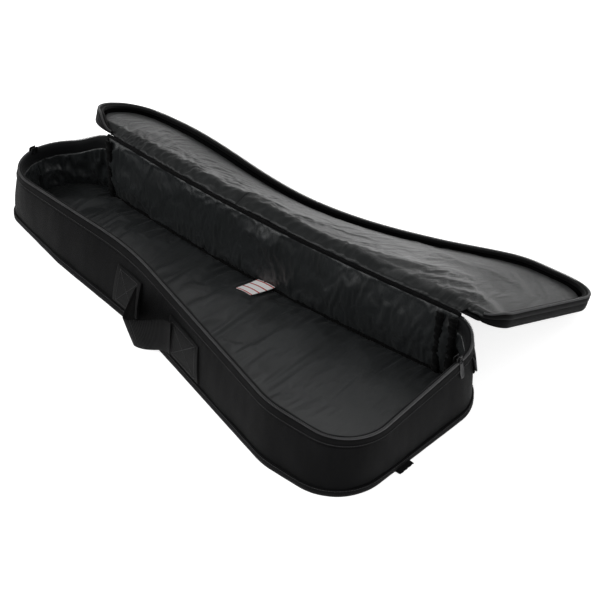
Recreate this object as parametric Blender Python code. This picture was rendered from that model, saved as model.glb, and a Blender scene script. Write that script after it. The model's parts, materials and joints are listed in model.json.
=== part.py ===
"""Padded gig bag for a long narrow instrument, opened, with its lid folded back to the floor.

Metres, +Z up. The origin is the middle of the flat underside. +X runs from the narrow end to the wide end,
and +Y from the near side to the spine, where the lid is hinged. The lid is built closed, then turned open.
"""
import math

import bpy
from mathutils import Matrix, Vector

for old in list(bpy.data.objects):
    bpy.data.objects.remove(old, do_unlink=True)

# Plan of the bag, as the outer face of the wall meets the floor
half_length = 0.397
spine_y = 0.124
narrow_width = 0.172
waist_width = 0.189
waist_from_narrow_end = 0.267
flare_width = 0.295
flare_from_wide_end = 0.117
wide_width = 0.289
far_narrow_radius = 0.089
near_narrow_radius = 0.055
waist_radius = 0.80
flare_radius = 0.15
near_wide_radius = 0.065
far_wide_radius = 0.059

# Heights and the inward lean of the side wall
wall_height = 0.088
lid_depth = 0.022
wall_lean = 0.014
near_side_share = 0.8
rim_rise = 0.0055
rise_run = 0.060

# Layers
gap = 0.0003
outer_thickness = 0.0012
wall_foam_thickness = 0.0070
floor_foam_thickness = 0.0080
lid_foam_thickness = 0.0070
lining_thickness = 0.0010
floor_fabric = 0.0014

# Edge trims and the zip
binding_height = 0.0105
binding_thickness = 0.0015
binding_lift = 0.0006
facing_height = 0.0150
foam_below_rim = 0.0065
tape_height = 0.0105
lid_tape_height = 0.0055
tape_thickness = 0.0008
coil_height = 0.0024
coil_proud = 0.0008
coil_depth = 0.0018
coil_clearance = 0.0008

# Seams of the lining and the cuts between lengths of foam
ruffle_width = 0.030
ruffle_depth = 0.003
ruffle_drop = 0.006
ruffle_margin = 0.008
seam_size = 0.004
corner_cut_share = 1.4
middle_cut_offset = 0.085

# Lid
open_angle = 204.0
waist_extra_angle = 9.0
hinge_clearance = 0.0020
lid_cuts = (-0.140, 0.015)
cut_gap = 0.0005
band_end_margin = 0.008

# Handle: one webbing, two sewn patches and a free loop
webbing_width = 0.050
webbing_thickness = 0.0018
handle_low = 0.0125
patch_narrow = (-0.099, -0.038)
patch_wide = (0.042, 0.118)
loop_bulge = 0.027
loop_steps = 12

# Strap tabs, rings, sliders and label
tab_width = 0.025
tab_low = 0.046
tab_high = 0.074
ring_wire = 0.0015
ring_height = 0.021
ring_play = 0.0005
ring_bend = 0.004
ring_side_room = 0.002
ring_sides = 6
fold_steps = 6
tab_front_leg = 0.006
strap_tab_angle = 40.0
slider_length = 0.012
slider_plate = 0.0012
slider_half_height = 0.0050
slider_web = 0.0010
slider_play = 0.0007
pull_length = 0.028
pull_width = 0.008
pull_thickness = 0.0016
slider_room = 0.008
pull_standoff = 0.0014
pull_pivot_rise = 0.0018
foot_tab_setback = 0.040
foot_tab_reach = 0.009
foot_tab_thickness = 0.0030
label_size = (0.030, 0.038)
label_x = 0.036
label_setback = 0.022
label_thickness = 0.0008

# Pocket on the outside of the lid
pocket_start = 0.085
pocket_from_wide_end = 0.045
pocket_back = 0.030
pocket_front = (0.165, 0.215)
pocket_thickness = 0.0095
pocket_radius = 0.022
pocket_zip_margin = 0.024
pocket_zip_setback = 0.026
pocket_tape_width = 0.022
pocket_tape_thickness = 0.0006
pocket_coil_width = 0.005
pocket_coil_thickness = 0.0014
pocket_coil_margin = 0.004
pocket_slider_length = 0.009
pocket_slider_width = 0.008
pocket_slider_height = 0.0018
pocket_slider_parked = 0.008
pocket_pull_length = 0.022
pocket_pull_width = 0.007
pocket_pull_thickness = 0.0014

waist_x = waist_from_narrow_end - half_length
flare_x = half_length - flare_from_wide_end
pocket_x = (pocket_start, half_length - pocket_from_wide_end)
total_height = wall_height + lid_depth
hinge_y = spine_y - wall_lean
near_narrow_y = spine_y - narrow_width
near_waist_y = spine_y - waist_width
near_flare_y = spine_y - flare_width
near_wide_y = spine_y - wide_width
wall_total = outer_thickness + gap + wall_foam_thickness + gap + lining_thickness
floor_foam_low = floor_fabric + gap
floor_lining_low = floor_foam_low + floor_foam_thickness + gap
floor_top = floor_lining_low + lining_thickness
lid_total = outer_thickness + gap + lid_foam_thickness + gap + lining_thickness
spine_top = total_height - lid_total - 2 * gap


def material(name, color, roughness, metallic=0.0):
    made = bpy.data.materials.new(name)
    made.use_nodes = True
    shader = made.node_tree.nodes["Principled BSDF"]
    shader.inputs["Base Color"].default_value = (*color, 1.0)
    shader.inputs["Roughness"].default_value = roughness
    shader.inputs["Metallic"].default_value = metallic
    return made


shell_fabric = material("shell_fabric", (0.012, 0.013, 0.014), 0.75)
lining_fabric = material("lining_fabric", (0.030, 0.034, 0.035), 0.40)
foam = material("foam", (0.20, 0.20, 0.19), 0.95)
webbing = material("webbing", (0.010, 0.010, 0.011), 0.80)
zip_coil = material("zip_coil", (0.05, 0.05, 0.05), 0.35)
dark_metal = material("dark_metal", (0.06, 0.06, 0.06), 0.35, 1.0)
label_weave = material("label_weave", (0.80, 0.79, 0.77), 0.70)


def ease(t):
    t = min(max(t, 0.0), 1.0)
    return t * t * (3 - 2 * t)


def fillet(corner, before, after, radius, most_step=math.radians(13)):
    """Points of the arc that rounds one corner of a path, from the run before it to the run after it."""
    into = (corner - before).normalized()
    out = (after - corner).normalized()
    turn = into.angle_signed(out)
    reach = radius * math.tan(abs(turn) / 2)
    start = corner - into * reach
    side = Vector((-into.y, into.x)) * (-1 if turn > 0 else 1)
    centre = start + side * radius
    count = max(3, math.ceil(abs(turn) / most_step))
    points = []
    for i in range(count + 1):
        swing = -turn * i / count
        arm = start - centre
        cos, sin = math.cos(swing), math.sin(swing)
        points.append(centre + Vector((arm.x * cos - arm.y * sin, arm.x * sin + arm.y * cos)))
    return points


def rounded(corners, closed=False, longest=0.10):
    """A path through (x, y, radius) corners, each rounded; an open path's long runs are split."""
    spots = [Vector(c[:2]) for c in corners]
    path = []
    for i, (x, y, radius) in enumerate(corners):
        path += fillet(spots[i], spots[i - 1], spots[(i + 1) % len(spots)], radius)
    if closed:
        return path
    split = [path[0]]
    for point in path[1:]:
        pieces = math.ceil((point - split[-1]).length / longest)
        start = split[-1]
        split += [start.lerp(point, (k + 1) / pieces) for k in range(pieces)]
    return split


class Station:
    """One place on a path: its point, its distance along, and the shift that moves both runs out by one."""

    def __init__(self, point, normal, along):
        self.point = point
        self.normal = normal
        self.along = along


def stations(path):
    """Stations of a closed path that keeps the bag on its left."""
    found = []
    along = 0.0
    for i, point in enumerate(path):
        ahead = (path[(i + 1) % len(path)] - point).normalized()
        behind = (point - path[i - 1]).normalized()
        run = (ahead + behind).normalized()
        along += (point - path[i - 1]).length if i else 0.0
        found.append(Station(point, Vector((run.y, -run.x)) / run.dot(ahead), along))
    return found


wall_corners = [
    (-half_length, spine_y, far_narrow_radius),
    (-half_length, near_narrow_y, near_narrow_radius),
    (waist_x, near_waist_y, waist_radius),
    (flare_x, near_flare_y, flare_radius),
    (half_length, near_wide_y, near_wide_radius),
    (half_length, spine_y, far_wide_radius),
]
wall_stations = stations(rounded(wall_corners))
wall_length = wall_stations[-1].along
spine_ends = (-half_length + far_narrow_radius, half_length - far_wide_radius)


def part_of(path_stations, start, end, end_room=0.002):
    """The stretch of a path between two distances, with its ends worked out between stations."""

    def between(distance):
        for a, b in zip(path_stations, path_stations[1:]):
            if a.along <= distance <= b.along:
                t = (distance - a.along) / (b.along - a.along)
                return Station(a.point.lerp(b.point, t), a.normal.lerp(b.normal, t), distance)
        return path_stations[-1]

    inner = [s for s in path_stations if start + end_room < s.along < end - end_room]
    return [between(start), *inner, between(end)]


def distance_at(x, drawn_in=0.0):
    """Distance along the wall to the place on the near side with this x, at the floor or drawn in from it."""
    near_limit = spine_y - narrow_width * near_side_share
    for a, b in zip(wall_stations, wall_stations[1:]):
        a_x = a.point.x - a.normal.x * drawn_in
        b_x = b.point.x - b.normal.x * drawn_in
        if max(a.point.y, b.point.y) < near_limit and a_x <= x <= b_x:
            return a.along + (x - a_x) / (b_x - a_x) * (b.along - a.along)
    raise ValueError("no place on the near side has that x")


def end_distance(along):
    return min(along, wall_length - along)


def rim_at(along):
    return wall_height + rim_rise * (1 - ease(end_distance(along) / rise_run))


def wall_point(station, inset, z):
    spot = station.point - station.normal * (inset + wall_lean * z / wall_height)
    return Vector((spot.x, spot.y, z))


def solid(name, points, faces, finish, parent=None):
    mesh = bpy.data.meshes.new(name)
    mesh.from_pydata([tuple(p) for p in points], [], faces)
    mesh.materials.append(finish)
    made = bpy.data.objects.new(name, mesh)
    bpy.context.scene.collection.objects.link(made)
    if parent is not None:
        made.parent = parent
    return made


def tube_faces(rings, sides, closed=False):
    """Faces of a bar with this many rings of corners, each turning left when seen from behind the bar."""
    faces = []
    for r in range(rings if closed else rings - 1):
        here, there = r * sides, ((r + 1) % rings) * sides
        for k in range(sides):
            m = (k + 1) % sides
            faces.append((here + k, here + m, there + m, there + k))
    if not closed:
        faces.append(tuple(reversed(range(sides))))
        faces.append(tuple((rings - 1) * sides + k for k in range(sides)))
    return faces


def strip(name, path_stations, outer, inner, low, high, finish, parent=None, point_at=wall_point):
    """A band that follows the wall, between two insets and two heights; a height may vary along the path."""
    points = []
    for s in path_stations:
        bottom = low(s.along) if callable(low) else low
        top = high(s.along) if callable(high) else high
        corners = ((outer, bottom), (inner, bottom), (inner, top), (outer, top))
        points += [point_at(s, inset, z) for inset, z in corners]
    return solid(name, points, tube_faces(len(path_stations), 4), finish, parent)


def plate(name, loop, low, high, finish, parent=None):
    """A flat piece with this outline, which turns left when seen from above."""
    count = len(loop)
    points = [Vector((p.x, p.y, low)) for p in loop] + [Vector((p.x, p.y, high)) for p in loop]
    faces = [tuple(reversed(range(count))), tuple(range(count, 2 * count))]
    faces += [(k, (k + 1) % count, (k + 1) % count + count, k + count) for k in range(count)]
    return solid(name, points, faces, finish, parent)


def box(name, low, high, finish, parent=None):
    loop = [Vector(c) for c in ((low[0], low[1]), (high[0], low[1]), (high[0], high[1]), (low[0], high[1]))]
    return plate(name, loop, low[2], high[2], finish, parent)


def outline(inset, z=0.0):
    """The whole plan outline at one height, drawn in by an inset."""
    return [wall_point(s, inset, z).to_2d() for s in wall_stations]


def clipped(loop, low, high):
    """The part of an outline between two x values."""
    for limit, side in ((low, 1), (high, -1)):
        kept = []
        for a, b in zip(loop, loop[1:] + loop[:1]):
            inside_a, inside_b = (a.x - limit) * side >= 0, (b.x - limit) * side >= 0
            if inside_a:
                kept.append(a)
            if inside_a != inside_b:
                kept.append(a.lerp(b, (limit - a.x) / (b.x - a.x)))
        loop = kept
    return loop


def without_doubles(loop, least=1e-5):
    return [p for i, p in enumerate(loop) if (p - loop[i - 1]).length > least]


def profile_bar(name, profile, start, end, along, outward, finish, parent=None):
    """A bar with a profile of (outward, z) corners, drawn from start to end along a level direction."""
    points = []
    for reach in (start, end):
        for n, z in profile:
            spot = along * reach + outward * n
            points.append(Vector((spot.x, spot.y, z)))
    made = solid(name, points, tube_faces(2, len(profile)), finish, parent)
    return made


def place(made, origin, parent=None):
    """Gives a piece its origin, and the parent whose own origin its mesh then counts from."""
    made.data.transform(Matrix.Translation(-Vector(origin)))
    made.location = origin
    if parent is not None:
        made.parent = parent
        made.location = Vector(origin) - Vector(parent.location)
    return made


# Floor of the bag
plate("base_outer", without_doubles(outline(0.0)), 0.0, floor_fabric, shell_fabric)
floor_inset = wall_total + gap + wall_lean * floor_top / wall_height
floor_loop = without_doubles(outline(floor_inset))
plate("base_foam", floor_loop, floor_foam_low, floor_foam_low + floor_foam_thickness, foam)
plate("base_lining", floor_loop, floor_lining_low, floor_top, lining_fabric)
strip("base_binding", wall_stations, -gap - binding_thickness, -gap, binding_lift, binding_height, webbing)

# Side wall: outer fabric, foam in four lengths, lining and the plain facing at the rim
wall_low = floor_fabric + gap
foam_outer = outer_thickness + gap
foam_inner = foam_outer + wall_foam_thickness
lining_outer = foam_inner + gap


def below_rim(drop):
    return lambda along: rim_at(along) - drop


tape_top = coil_clearance + coil_height + gap
wall_top = below_rim(tape_top + tape_height + gap)
strip("wall_outer", wall_stations, 0.0, outer_thickness, wall_low, wall_top, shell_fabric)
foam_names = ("wall_foam_narrow_end", "wall_foam_waist", "wall_foam_flare", "wall_foam_wide_end")
narrow_cut = -half_length + near_narrow_radius * corner_cut_share
wide_cut = half_length - near_wide_radius * corner_cut_share
middle_cut = (waist_x + flare_x) / 2 - middle_cut_offset
foam_cuts = [0.0] + [distance_at(x) for x in (narrow_cut, middle_cut, wide_cut)] + [wall_length]
for name, start, end in zip(foam_names, foam_cuts, foam_cuts[1:]):
    length_of_wall = part_of(wall_stations, start + gap / 2, end - gap / 2)
    strip(name, length_of_wall, foam_outer, foam_inner, wall_low, below_rim(foam_below_rim), foam)
lining_top = foam_below_rim + facing_height + gap
strip("wall_lining", wall_stations, lining_outer, wall_total, wall_low, below_rim(lining_top), lining_fabric)
facing_low = foam_below_rim + facing_height
facing_heights = below_rim(facing_low), below_rim(foam_below_rim)
strip("rim_facing", wall_stations, lining_outer, wall_total, *facing_heights, webbing)

# Body half of the zip
tape_low = tape_top + tape_height
coil_low = coil_clearance + coil_height
strip("body_zip_tape", wall_stations, 0.0, tape_thickness, below_rim(tape_low), below_rim(tape_top), webbing)
coil_heights = below_rim(coil_low), below_rim(coil_clearance)
strip("body_zip_coil", wall_stations, -coil_proud, coil_depth, *coil_heights, zip_coil)

# Spine wall, its seams and the fold above it
first, last = wall_stations[0], wall_stations[-1]
spine_length = (first.point - last.point).length
spine_run = [Station(last.point, last.normal, 0.0), Station(first.point, first.normal, spine_length)]
spine_stations = part_of(spine_run, gap, spine_length - gap)
spine_layers = (
    ("spine_outer", 0.0, outer_thickness, shell_fabric),
    ("spine_foam", foam_outer, foam_inner, foam),
    ("spine_lining", lining_outer, wall_total, lining_fabric),
)
for name, outer, inner, finish in spine_layers:
    strip(name, spine_stations, outer, inner, wall_low, spine_top, finish)
fold_low = (spine_ends[0], hinge_y - outer_thickness, spine_top + gap)
box("fold_strip", fold_low, (spine_ends[1], hinge_y, total_height - 2 * gap), webbing)
seam_outer = wall_total + gap
seam_low = floor_top + gap
ruffle_top = spine_top - ruffle_drop
for name, start in (
    ("ruffle_wide", ruffle_margin),
    ("ruffle_narrow", spine_length - ruffle_margin - ruffle_width),
):
    stretch = part_of(spine_run, start, start + ruffle_width)
    strip(name, stretch, seam_outer, seam_outer + ruffle_depth, seam_low, ruffle_top, lining_fabric)
seam_margin = ruffle_margin + ruffle_width + gap
seam_stretch = part_of(spine_run, seam_margin, spine_length - seam_margin)
seam_high = seam_low + seam_size
strip("floor_seam", seam_stretch, seam_outer, seam_outer + seam_size, seam_low, seam_high, webbing)
label_far = spine_y - seam_outer - seam_size - wall_lean * seam_high / wall_height - label_setback
label_low = (label_x - label_size[0] / 2, label_far - label_size[1], floor_top + gap)
label_high = (label_x + label_size[0] / 2, label_far, floor_top + gap + label_thickness)
box("woven_label", label_low, label_high, label_weave)

# Handle
handle_high = handle_low + webbing_width
patch_outer = -gap - webbing_thickness
for name, ends in (("handle_patch_narrow", patch_narrow), ("handle_patch_wide", patch_wide)):
    stretch = part_of(wall_stations, distance_at(ends[0]), distance_at(ends[1]))
    strip(name, stretch, patch_outer, -gap, handle_low, handle_high, webbing)
loop_start = distance_at(patch_narrow[1]) + gap
loop_end = distance_at(patch_wide[0]) - gap
loop_stations = []
for i in range(loop_steps + 1):
    t = i / loop_steps
    spot = part_of(wall_stations, loop_start + (loop_end - loop_start) * t, wall_length)[0]
    rise = loop_bulge * math.sin(math.pi * t) ** 2
    slope = loop_bulge * math.pi * math.sin(2 * math.pi * t) / (loop_end - loop_start)
    run = Vector((-spot.normal.y, spot.normal.x)).normalized()
    normal = (spot.normal - run * slope).normalized()
    loop_stations.append(Station(spot.point + spot.normal * rise, normal, spot.along))
anchor_distance = (loop_start + loop_end) / 2
anchor = part_of(wall_stations, anchor_distance, wall_length)[0]
hinge_out = gap + webbing_thickness - wall_lean * handle_high / wall_height
handle_axis_point = anchor.point + anchor.normal * hinge_out


def loop_point(station, inset, z):
    spot = station.point - station.normal * inset - anchor.normal * (wall_lean * z / wall_height)
    return Vector((spot.x, spot.y, z))


handle_loop = strip(
    "handle_loop", loop_stations, patch_outer, -gap, handle_low, handle_high, webbing, point_at=loop_point
)
place(handle_loop, (handle_axis_point.x, handle_axis_point.y, handle_high))

# Strap tabs on the far corners, each a folded webbing that holds a ring
loop_inner = ring_wire + ring_play
loop_outer = loop_inner + outer_thickness
tab_back = gap + outer_thickness
ring_out = tab_back + loop_inner


def tab_profile(back):
    """Back leg, a round over the ring's bar, and a short front leg."""
    centre = back + loop_inner
    arc = [math.pi * k / fold_steps for k in range(fold_steps + 1)]
    outer = [(centre - loop_outer * math.cos(a), tab_high + loop_outer * math.sin(a)) for a in arc]
    inner = [(centre - loop_inner * math.cos(a), tab_high + loop_inner * math.sin(a)) for a in reversed(arc)]
    front_low = tab_high - tab_front_leg
    legs_front = [(centre + loop_outer, front_low), (centre + loop_inner, front_low)]
    legs_back = [(back, tab_low), (back - outer_thickness, tab_low)]
    corners = outer + legs_front + inner + legs_back
    return [(out - wall_lean * z / wall_height, z) for out, z in corners]


def corner_frame(corner_x, radius, sign):
    """Centre, tangent and outward direction at the middle of a far corner."""
    centre = Vector((corner_x, spine_y - radius))
    angle = math.radians(strap_tab_angle)
    outward = Vector((sign * math.cos(angle), math.sin(angle)))
    return centre + outward * radius, Vector((-outward.y, outward.x)), outward


def ring(name, spot, along, outward):
    """A round-cornered wire ring that hangs from its bar in the tab's fold."""
    half = tab_width / 2 + ring_wire + ring_side_room
    bend = ring_bend
    path = rounded(
        [(-half, 0, bend), (-half, -ring_height, bend), (half, -ring_height, bend), (half, 0, bend)],
        closed=True,
    )
    rings = [path[i] for i in range(0, len(path), 2)]
    centre = spot + outward * (ring_out - wall_lean * tab_high / wall_height)
    points = []
    for i, p in enumerate(rings):
        run = (rings[(i + 1) % len(rings)] - rings[i - 1]).normalized()
        across = Vector((run.y, -run.x))
        for k in range(ring_sides):
            a = 2 * math.pi * k / ring_sides
            flat = p + across * ring_wire * math.cos(a)
            lean = flat.y * wall_lean / wall_height
            level = centre + along * flat.x - outward * (ring_wire * math.sin(a) + lean)
            points.append(Vector((level.x, level.y, tab_high + flat.y)))
    made = solid(name, points, tube_faces(len(rings), ring_sides, closed=True), dark_metal)
    made.data.shade_smooth()
    return place(made, (centre.x, centre.y, tab_high))


for side, corner_x, radius, sign in (
    ("wide", spine_ends[1], far_wide_radius, 1),
    ("narrow", spine_ends[0], far_narrow_radius, -1),
):
    spot, along, outward = corner_frame(corner_x, radius, sign)
    profile = tab_profile(tab_back)
    tab = profile_bar("strap_tab_" + side, profile, -tab_width / 2, tab_width / 2, along, outward, webbing)
    tab.data.transform(Matrix.Translation(Vector((spot.x, spot.y, 0))))
    ring("strap_ring_" + side, spot, along, outward)

# Webbing tab that lies on the floor at the near corner of the wide end
foot_centre = Vector((half_length, near_wide_y + near_wide_radius + foot_tab_setback))
foot_low = (foot_centre.x + gap + binding_thickness + gap, foot_centre.y - tab_width / 2, binding_lift)
foot_high = (foot_low[0] + foot_tab_reach, foot_centre.y + tab_width / 2, binding_lift + foot_tab_thickness)
box("foot_tab", foot_low, foot_high, webbing)

# Zip sliders, parked beside the spine, with their pulls
rim_x = half_length - wall_lean * (wall_height - coil_clearance - coil_height / 2) / wall_height
wide_slider_y = spine_y - far_wide_radius - slider_room
narrow_slider_y = spine_y - far_narrow_radius - slider_room
slot_out = coil_proud + slider_play
slot_in = coil_depth + slider_play
pull_out = slot_out + slider_plate + pull_standoff
pull_pivot_z = wall_height + pull_pivot_rise
for side, sign, slider_y in (("wide", 1, wide_slider_y), ("narrow", -1, narrow_slider_y)):
    outward = Vector((sign, 0))
    along = Vector((0, sign))
    low, high = wall_height - slider_half_height, wall_height + slider_half_height
    web_low, web_high = wall_height - slider_web / 2, wall_height + slider_web / 2
    i_beam = [
        (slot_out + slider_plate, low),
        (slot_out + slider_plate, high),
        (slot_out, high),
        (slot_out, web_high),
        (-slot_in, web_high),
        (-slot_in, high),
        (-slot_in - slider_plate, high),
        (-slot_in - slider_plate, low),
        (-slot_in, low),
        (-slot_in, web_low),
        (slot_out, web_low),
        (slot_out, low),
    ]
    half = slider_length / 2
    slider = profile_bar("slider_" + side, i_beam[::-1], -half, half, along, outward, dark_metal)
    slider.data.transform(Matrix.Translation((sign * rim_x, slider_y, 0)))
    centre_x = sign * (rim_x + pull_out)
    x_low, x_high = sorted((centre_x - pull_thickness / 2, centre_x + pull_thickness / 2))
    pull_low = (x_low, slider_y - pull_width / 2, pull_pivot_z - pull_length)
    pull_high = (x_high, slider_y + pull_width / 2, pull_pivot_z + pull_thickness / 2)
    pull = box("slider_pull_" + side, pull_low, pull_high, dark_metal)
    place(pull, (centre_x, slider_y, pull_pivot_z))
    pull.data.transform(Matrix.Rotation(-sign * math.atan(wall_lean / wall_height), 4, "Y"))

# Lid, made closed and turned about the hinge at the spine's upper edge; its waist hangs a little further
hinge = (0.0, hinge_y, total_height)
turned = {}
for name, angle in (("lid_hinge", open_angle), ("lid_waist_hinge", open_angle + waist_extra_angle)):
    empty = bpy.data.objects.new(name, None)
    bpy.context.scene.collection.objects.link(empty)
    empty.location = hinge
    empty.rotation_euler.x = -math.radians(angle)
    turned[name] = empty


def on_lid(made, waist=False):
    made.data.transform(Matrix.Translation(-Vector(hinge)))
    made.parent = turned["lid_waist_hinge" if waist else "lid_hinge"]
    return made


def above_rim(rise):
    return lambda along: rim_at(along) + rise


def lid_point(station, inset, z):
    """Like a point on the wall at the rim, kept clear of the hinge line."""
    spot = station.point - station.normal * (inset + wall_lean)
    return Vector((spot.x, min(spot.y, hinge_y - hinge_clearance - inset), z))


panel_low = total_height - outer_thickness
lid_foam_high = panel_low - gap
lid_foam_low = lid_foam_high - lid_foam_thickness
lid_lining_high = lid_foam_low - gap
lid_lining_low = lid_lining_high - lining_thickness
lid_tape_low = coil_clearance + coil_height + gap
gusset_low = lid_tape_low + lid_tape_height + gap
lid_edges = (-half_length, *lid_cuts, half_length)
lid_parts = ("narrow", "waist", "wide")
wall_cuts = (band_end_margin, *[distance_at(x, wall_lean) for x in lid_cuts], wall_length - band_end_margin)
for i, part in enumerate(lid_parts):
    is_waist = part == "waist"
    x_low, x_high = lid_edges[i] + cut_gap / 2, lid_edges[i + 1] - cut_gap / 2

    def panel(name, inset, low, high, finish):
        back = hinge_y - hinge_clearance - inset
        loop = clipped(outline(inset, z=wall_height), x_low, x_high)
        cut = without_doubles([Vector((p.x, min(p.y, back))) for p in loop])
        return on_lid(plate(name + "_" + part, cut, low, high, finish), is_waist)

    panel("lid_outer", 0.0, panel_low, total_height, shell_fabric)
    panel("lid_foam", foam_outer, lid_foam_low, lid_foam_high, foam)
    panel("lid_lining", foam_outer, lid_lining_low, lid_lining_high, lining_fabric)
    rim_part = part_of(wall_stations, wall_cuts[i] + cut_gap / 2, wall_cuts[i + 1] - cut_gap / 2)

    def cut_point(station, inset, z):
        spot = lid_point(station, inset, z)
        spot.x = min(max(spot.x, x_low), x_high)
        return spot

    def band(name, outer, inner, low, high, finish):
        made = strip(name + "_" + part, rim_part, outer, inner, low, high, finish, point_at=cut_point)
        return on_lid(made, is_waist)

    gusset_high = panel_low - gap
    band("lid_gusset", 0.0, outer_thickness, above_rim(gusset_low), gusset_high, shell_fabric)
    tape_high = lid_tape_low + lid_tape_height
    band("lid_zip_tape", 0.0, tape_thickness, above_rim(lid_tape_low), above_rim(tape_high), webbing)
    coil_high = coil_clearance + coil_height
    band("lid_zip_coil", -coil_proud, coil_depth, above_rim(coil_clearance), above_rim(coil_high), zip_coil)

# Pocket on the wide part of the lid, with a straight zip across it
pocket_corners = [
    (pocket_x[0], hinge_y - pocket_back, pocket_radius),
    (pocket_x[0], hinge_y - pocket_front[0], pocket_radius),
    (pocket_x[1], hinge_y - pocket_front[1], pocket_radius),
    (pocket_x[1], hinge_y - pocket_back, pocket_radius),
]
pocket_top = total_height + gap + pocket_thickness
pocket_loop = rounded(pocket_corners, closed=True)
on_lid(plate("pocket", pocket_loop, total_height + gap, pocket_top, shell_fabric))
zip_start, zip_end = pocket_x[0] + pocket_zip_margin, pocket_x[1] - pocket_zip_margin
zip_y = hinge_y - pocket_back - pocket_zip_setback
tape_half = pocket_tape_width / 2
tape_face = pocket_top + gap + pocket_tape_thickness
zip_low = (zip_start, zip_y - tape_half, pocket_top + gap)
on_lid(box("pocket_zip_tape", zip_low, (zip_end, zip_y + tape_half, tape_face), webbing))
coil_half = pocket_coil_width / 2
coil_face = tape_face + gap + pocket_coil_thickness
coil_start = (zip_start + pocket_coil_margin, zip_y - coil_half, tape_face + gap)
coil_end = (zip_end - pocket_coil_margin, zip_y + coil_half, coil_face)
on_lid(box("pocket_zip_coil", coil_start, coil_end, zip_coil))
block_end = zip_end - pocket_slider_parked
block_half = pocket_slider_width / 2
block_low = (block_end - pocket_slider_length, zip_y - block_half, coil_face + gap)
block_high = (block_end, zip_y + block_half, coil_face + gap + pocket_slider_height)
on_lid(box("pocket_slider", block_low, block_high, dark_metal))
pull_end = (block_low[0] + block_high[0]) / 2
pull_base = block_high[2] + gap
pocket_pull_low = (pull_end - pocket_pull_length, zip_y - pocket_pull_width / 2, pull_base)
pocket_pull_high = (pull_end, zip_y + pocket_pull_width / 2, pull_base + pocket_pull_thickness)
pocket_pull = on_lid(box("pocket_pull", pocket_pull_low, pocket_pull_high, dark_metal))
pivot = Vector((pull_end, zip_y, pull_base + pocket_pull_thickness / 2)) - Vector(hinge)
pocket_pull.data.transform(Matrix.Translation(-pivot))
pocket_pull.location = pivot
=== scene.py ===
"""Looks of the padded gig bag: the opened bag on a pale studio floor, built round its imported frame."""

import json
import math

import bmesh
import bpy
import numpy as np
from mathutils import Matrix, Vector, noise


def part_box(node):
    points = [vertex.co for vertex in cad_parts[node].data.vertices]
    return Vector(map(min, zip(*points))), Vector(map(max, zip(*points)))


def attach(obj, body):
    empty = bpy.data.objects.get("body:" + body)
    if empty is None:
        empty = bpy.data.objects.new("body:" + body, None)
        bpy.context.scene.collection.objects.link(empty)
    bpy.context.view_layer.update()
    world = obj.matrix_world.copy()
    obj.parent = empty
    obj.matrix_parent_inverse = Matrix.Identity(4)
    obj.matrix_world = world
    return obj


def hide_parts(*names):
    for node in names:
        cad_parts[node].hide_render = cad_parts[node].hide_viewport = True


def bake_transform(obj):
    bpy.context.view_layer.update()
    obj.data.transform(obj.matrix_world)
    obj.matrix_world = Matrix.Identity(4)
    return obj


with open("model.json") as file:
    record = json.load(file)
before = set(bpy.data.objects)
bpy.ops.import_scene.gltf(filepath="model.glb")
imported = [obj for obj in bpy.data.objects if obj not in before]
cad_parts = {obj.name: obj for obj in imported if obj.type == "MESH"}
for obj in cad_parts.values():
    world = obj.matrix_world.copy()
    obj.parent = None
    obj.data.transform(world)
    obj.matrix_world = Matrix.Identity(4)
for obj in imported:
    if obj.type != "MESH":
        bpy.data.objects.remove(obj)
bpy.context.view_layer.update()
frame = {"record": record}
scene = bpy.context.scene

# Camera: a long lens held above the wide end's near corner, looking down the length of the bag.
camera_data = bpy.data.cameras.new("studio_camera")
camera_data.lens = 84
camera_data.sensor_width = 36
camera_data.clip_start = 0.05
camera = bpy.data.objects.new("studio_camera", camera_data)
scene.collection.objects.link(camera)
camera.location = (1.118, -1.044, 1.170)
looked_at = Vector((0.083, 0.104, 0.0))
camera.rotation_euler = (looked_at - camera.location).to_track_quat("-Z", "Y").to_euler()
scene.camera = camera

# Studio: a white room with a big soft light over the far side, a strong one at the near left and a weak one
# at the wide end.
world = bpy.data.worlds.new("studio_air")
scene.world = world
world.use_nodes = True
world.node_tree.nodes["Background"].inputs["Color"].default_value = (1.0, 1.0, 1.0, 1.0)
world.node_tree.nodes["Background"].inputs["Strength"].default_value = 0.44
scene.view_settings.view_transform = "Standard"


def soft_light(name, place, aim, size, power):
    data = bpy.data.lights.new(name, "AREA")
    data.shape = "RECTANGLE"
    data.size, data.size_y = size
    data.energy = power
    light = bpy.data.objects.new(name, data)
    scene.collection.objects.link(light)
    light.location = place
    light.rotation_euler = (Vector(aim) - Vector(place)).to_track_quat("-Z", "Y").to_euler()


soft_light("far_softbox", (-0.5, 1.9, 1.7), (0.05, 0.05, 0.05), (2.0, 1.2), 9)
soft_light("near_softbox", (-1.4, -1.6, 1.5), (0.0, 0.0, 0.05), (1.2, 1.2), 24)
soft_light("end_softbox", (2.0, -0.4, 1.1), (0.1, 0.0, 0.05), (0.9, 0.9), 6)

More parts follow.
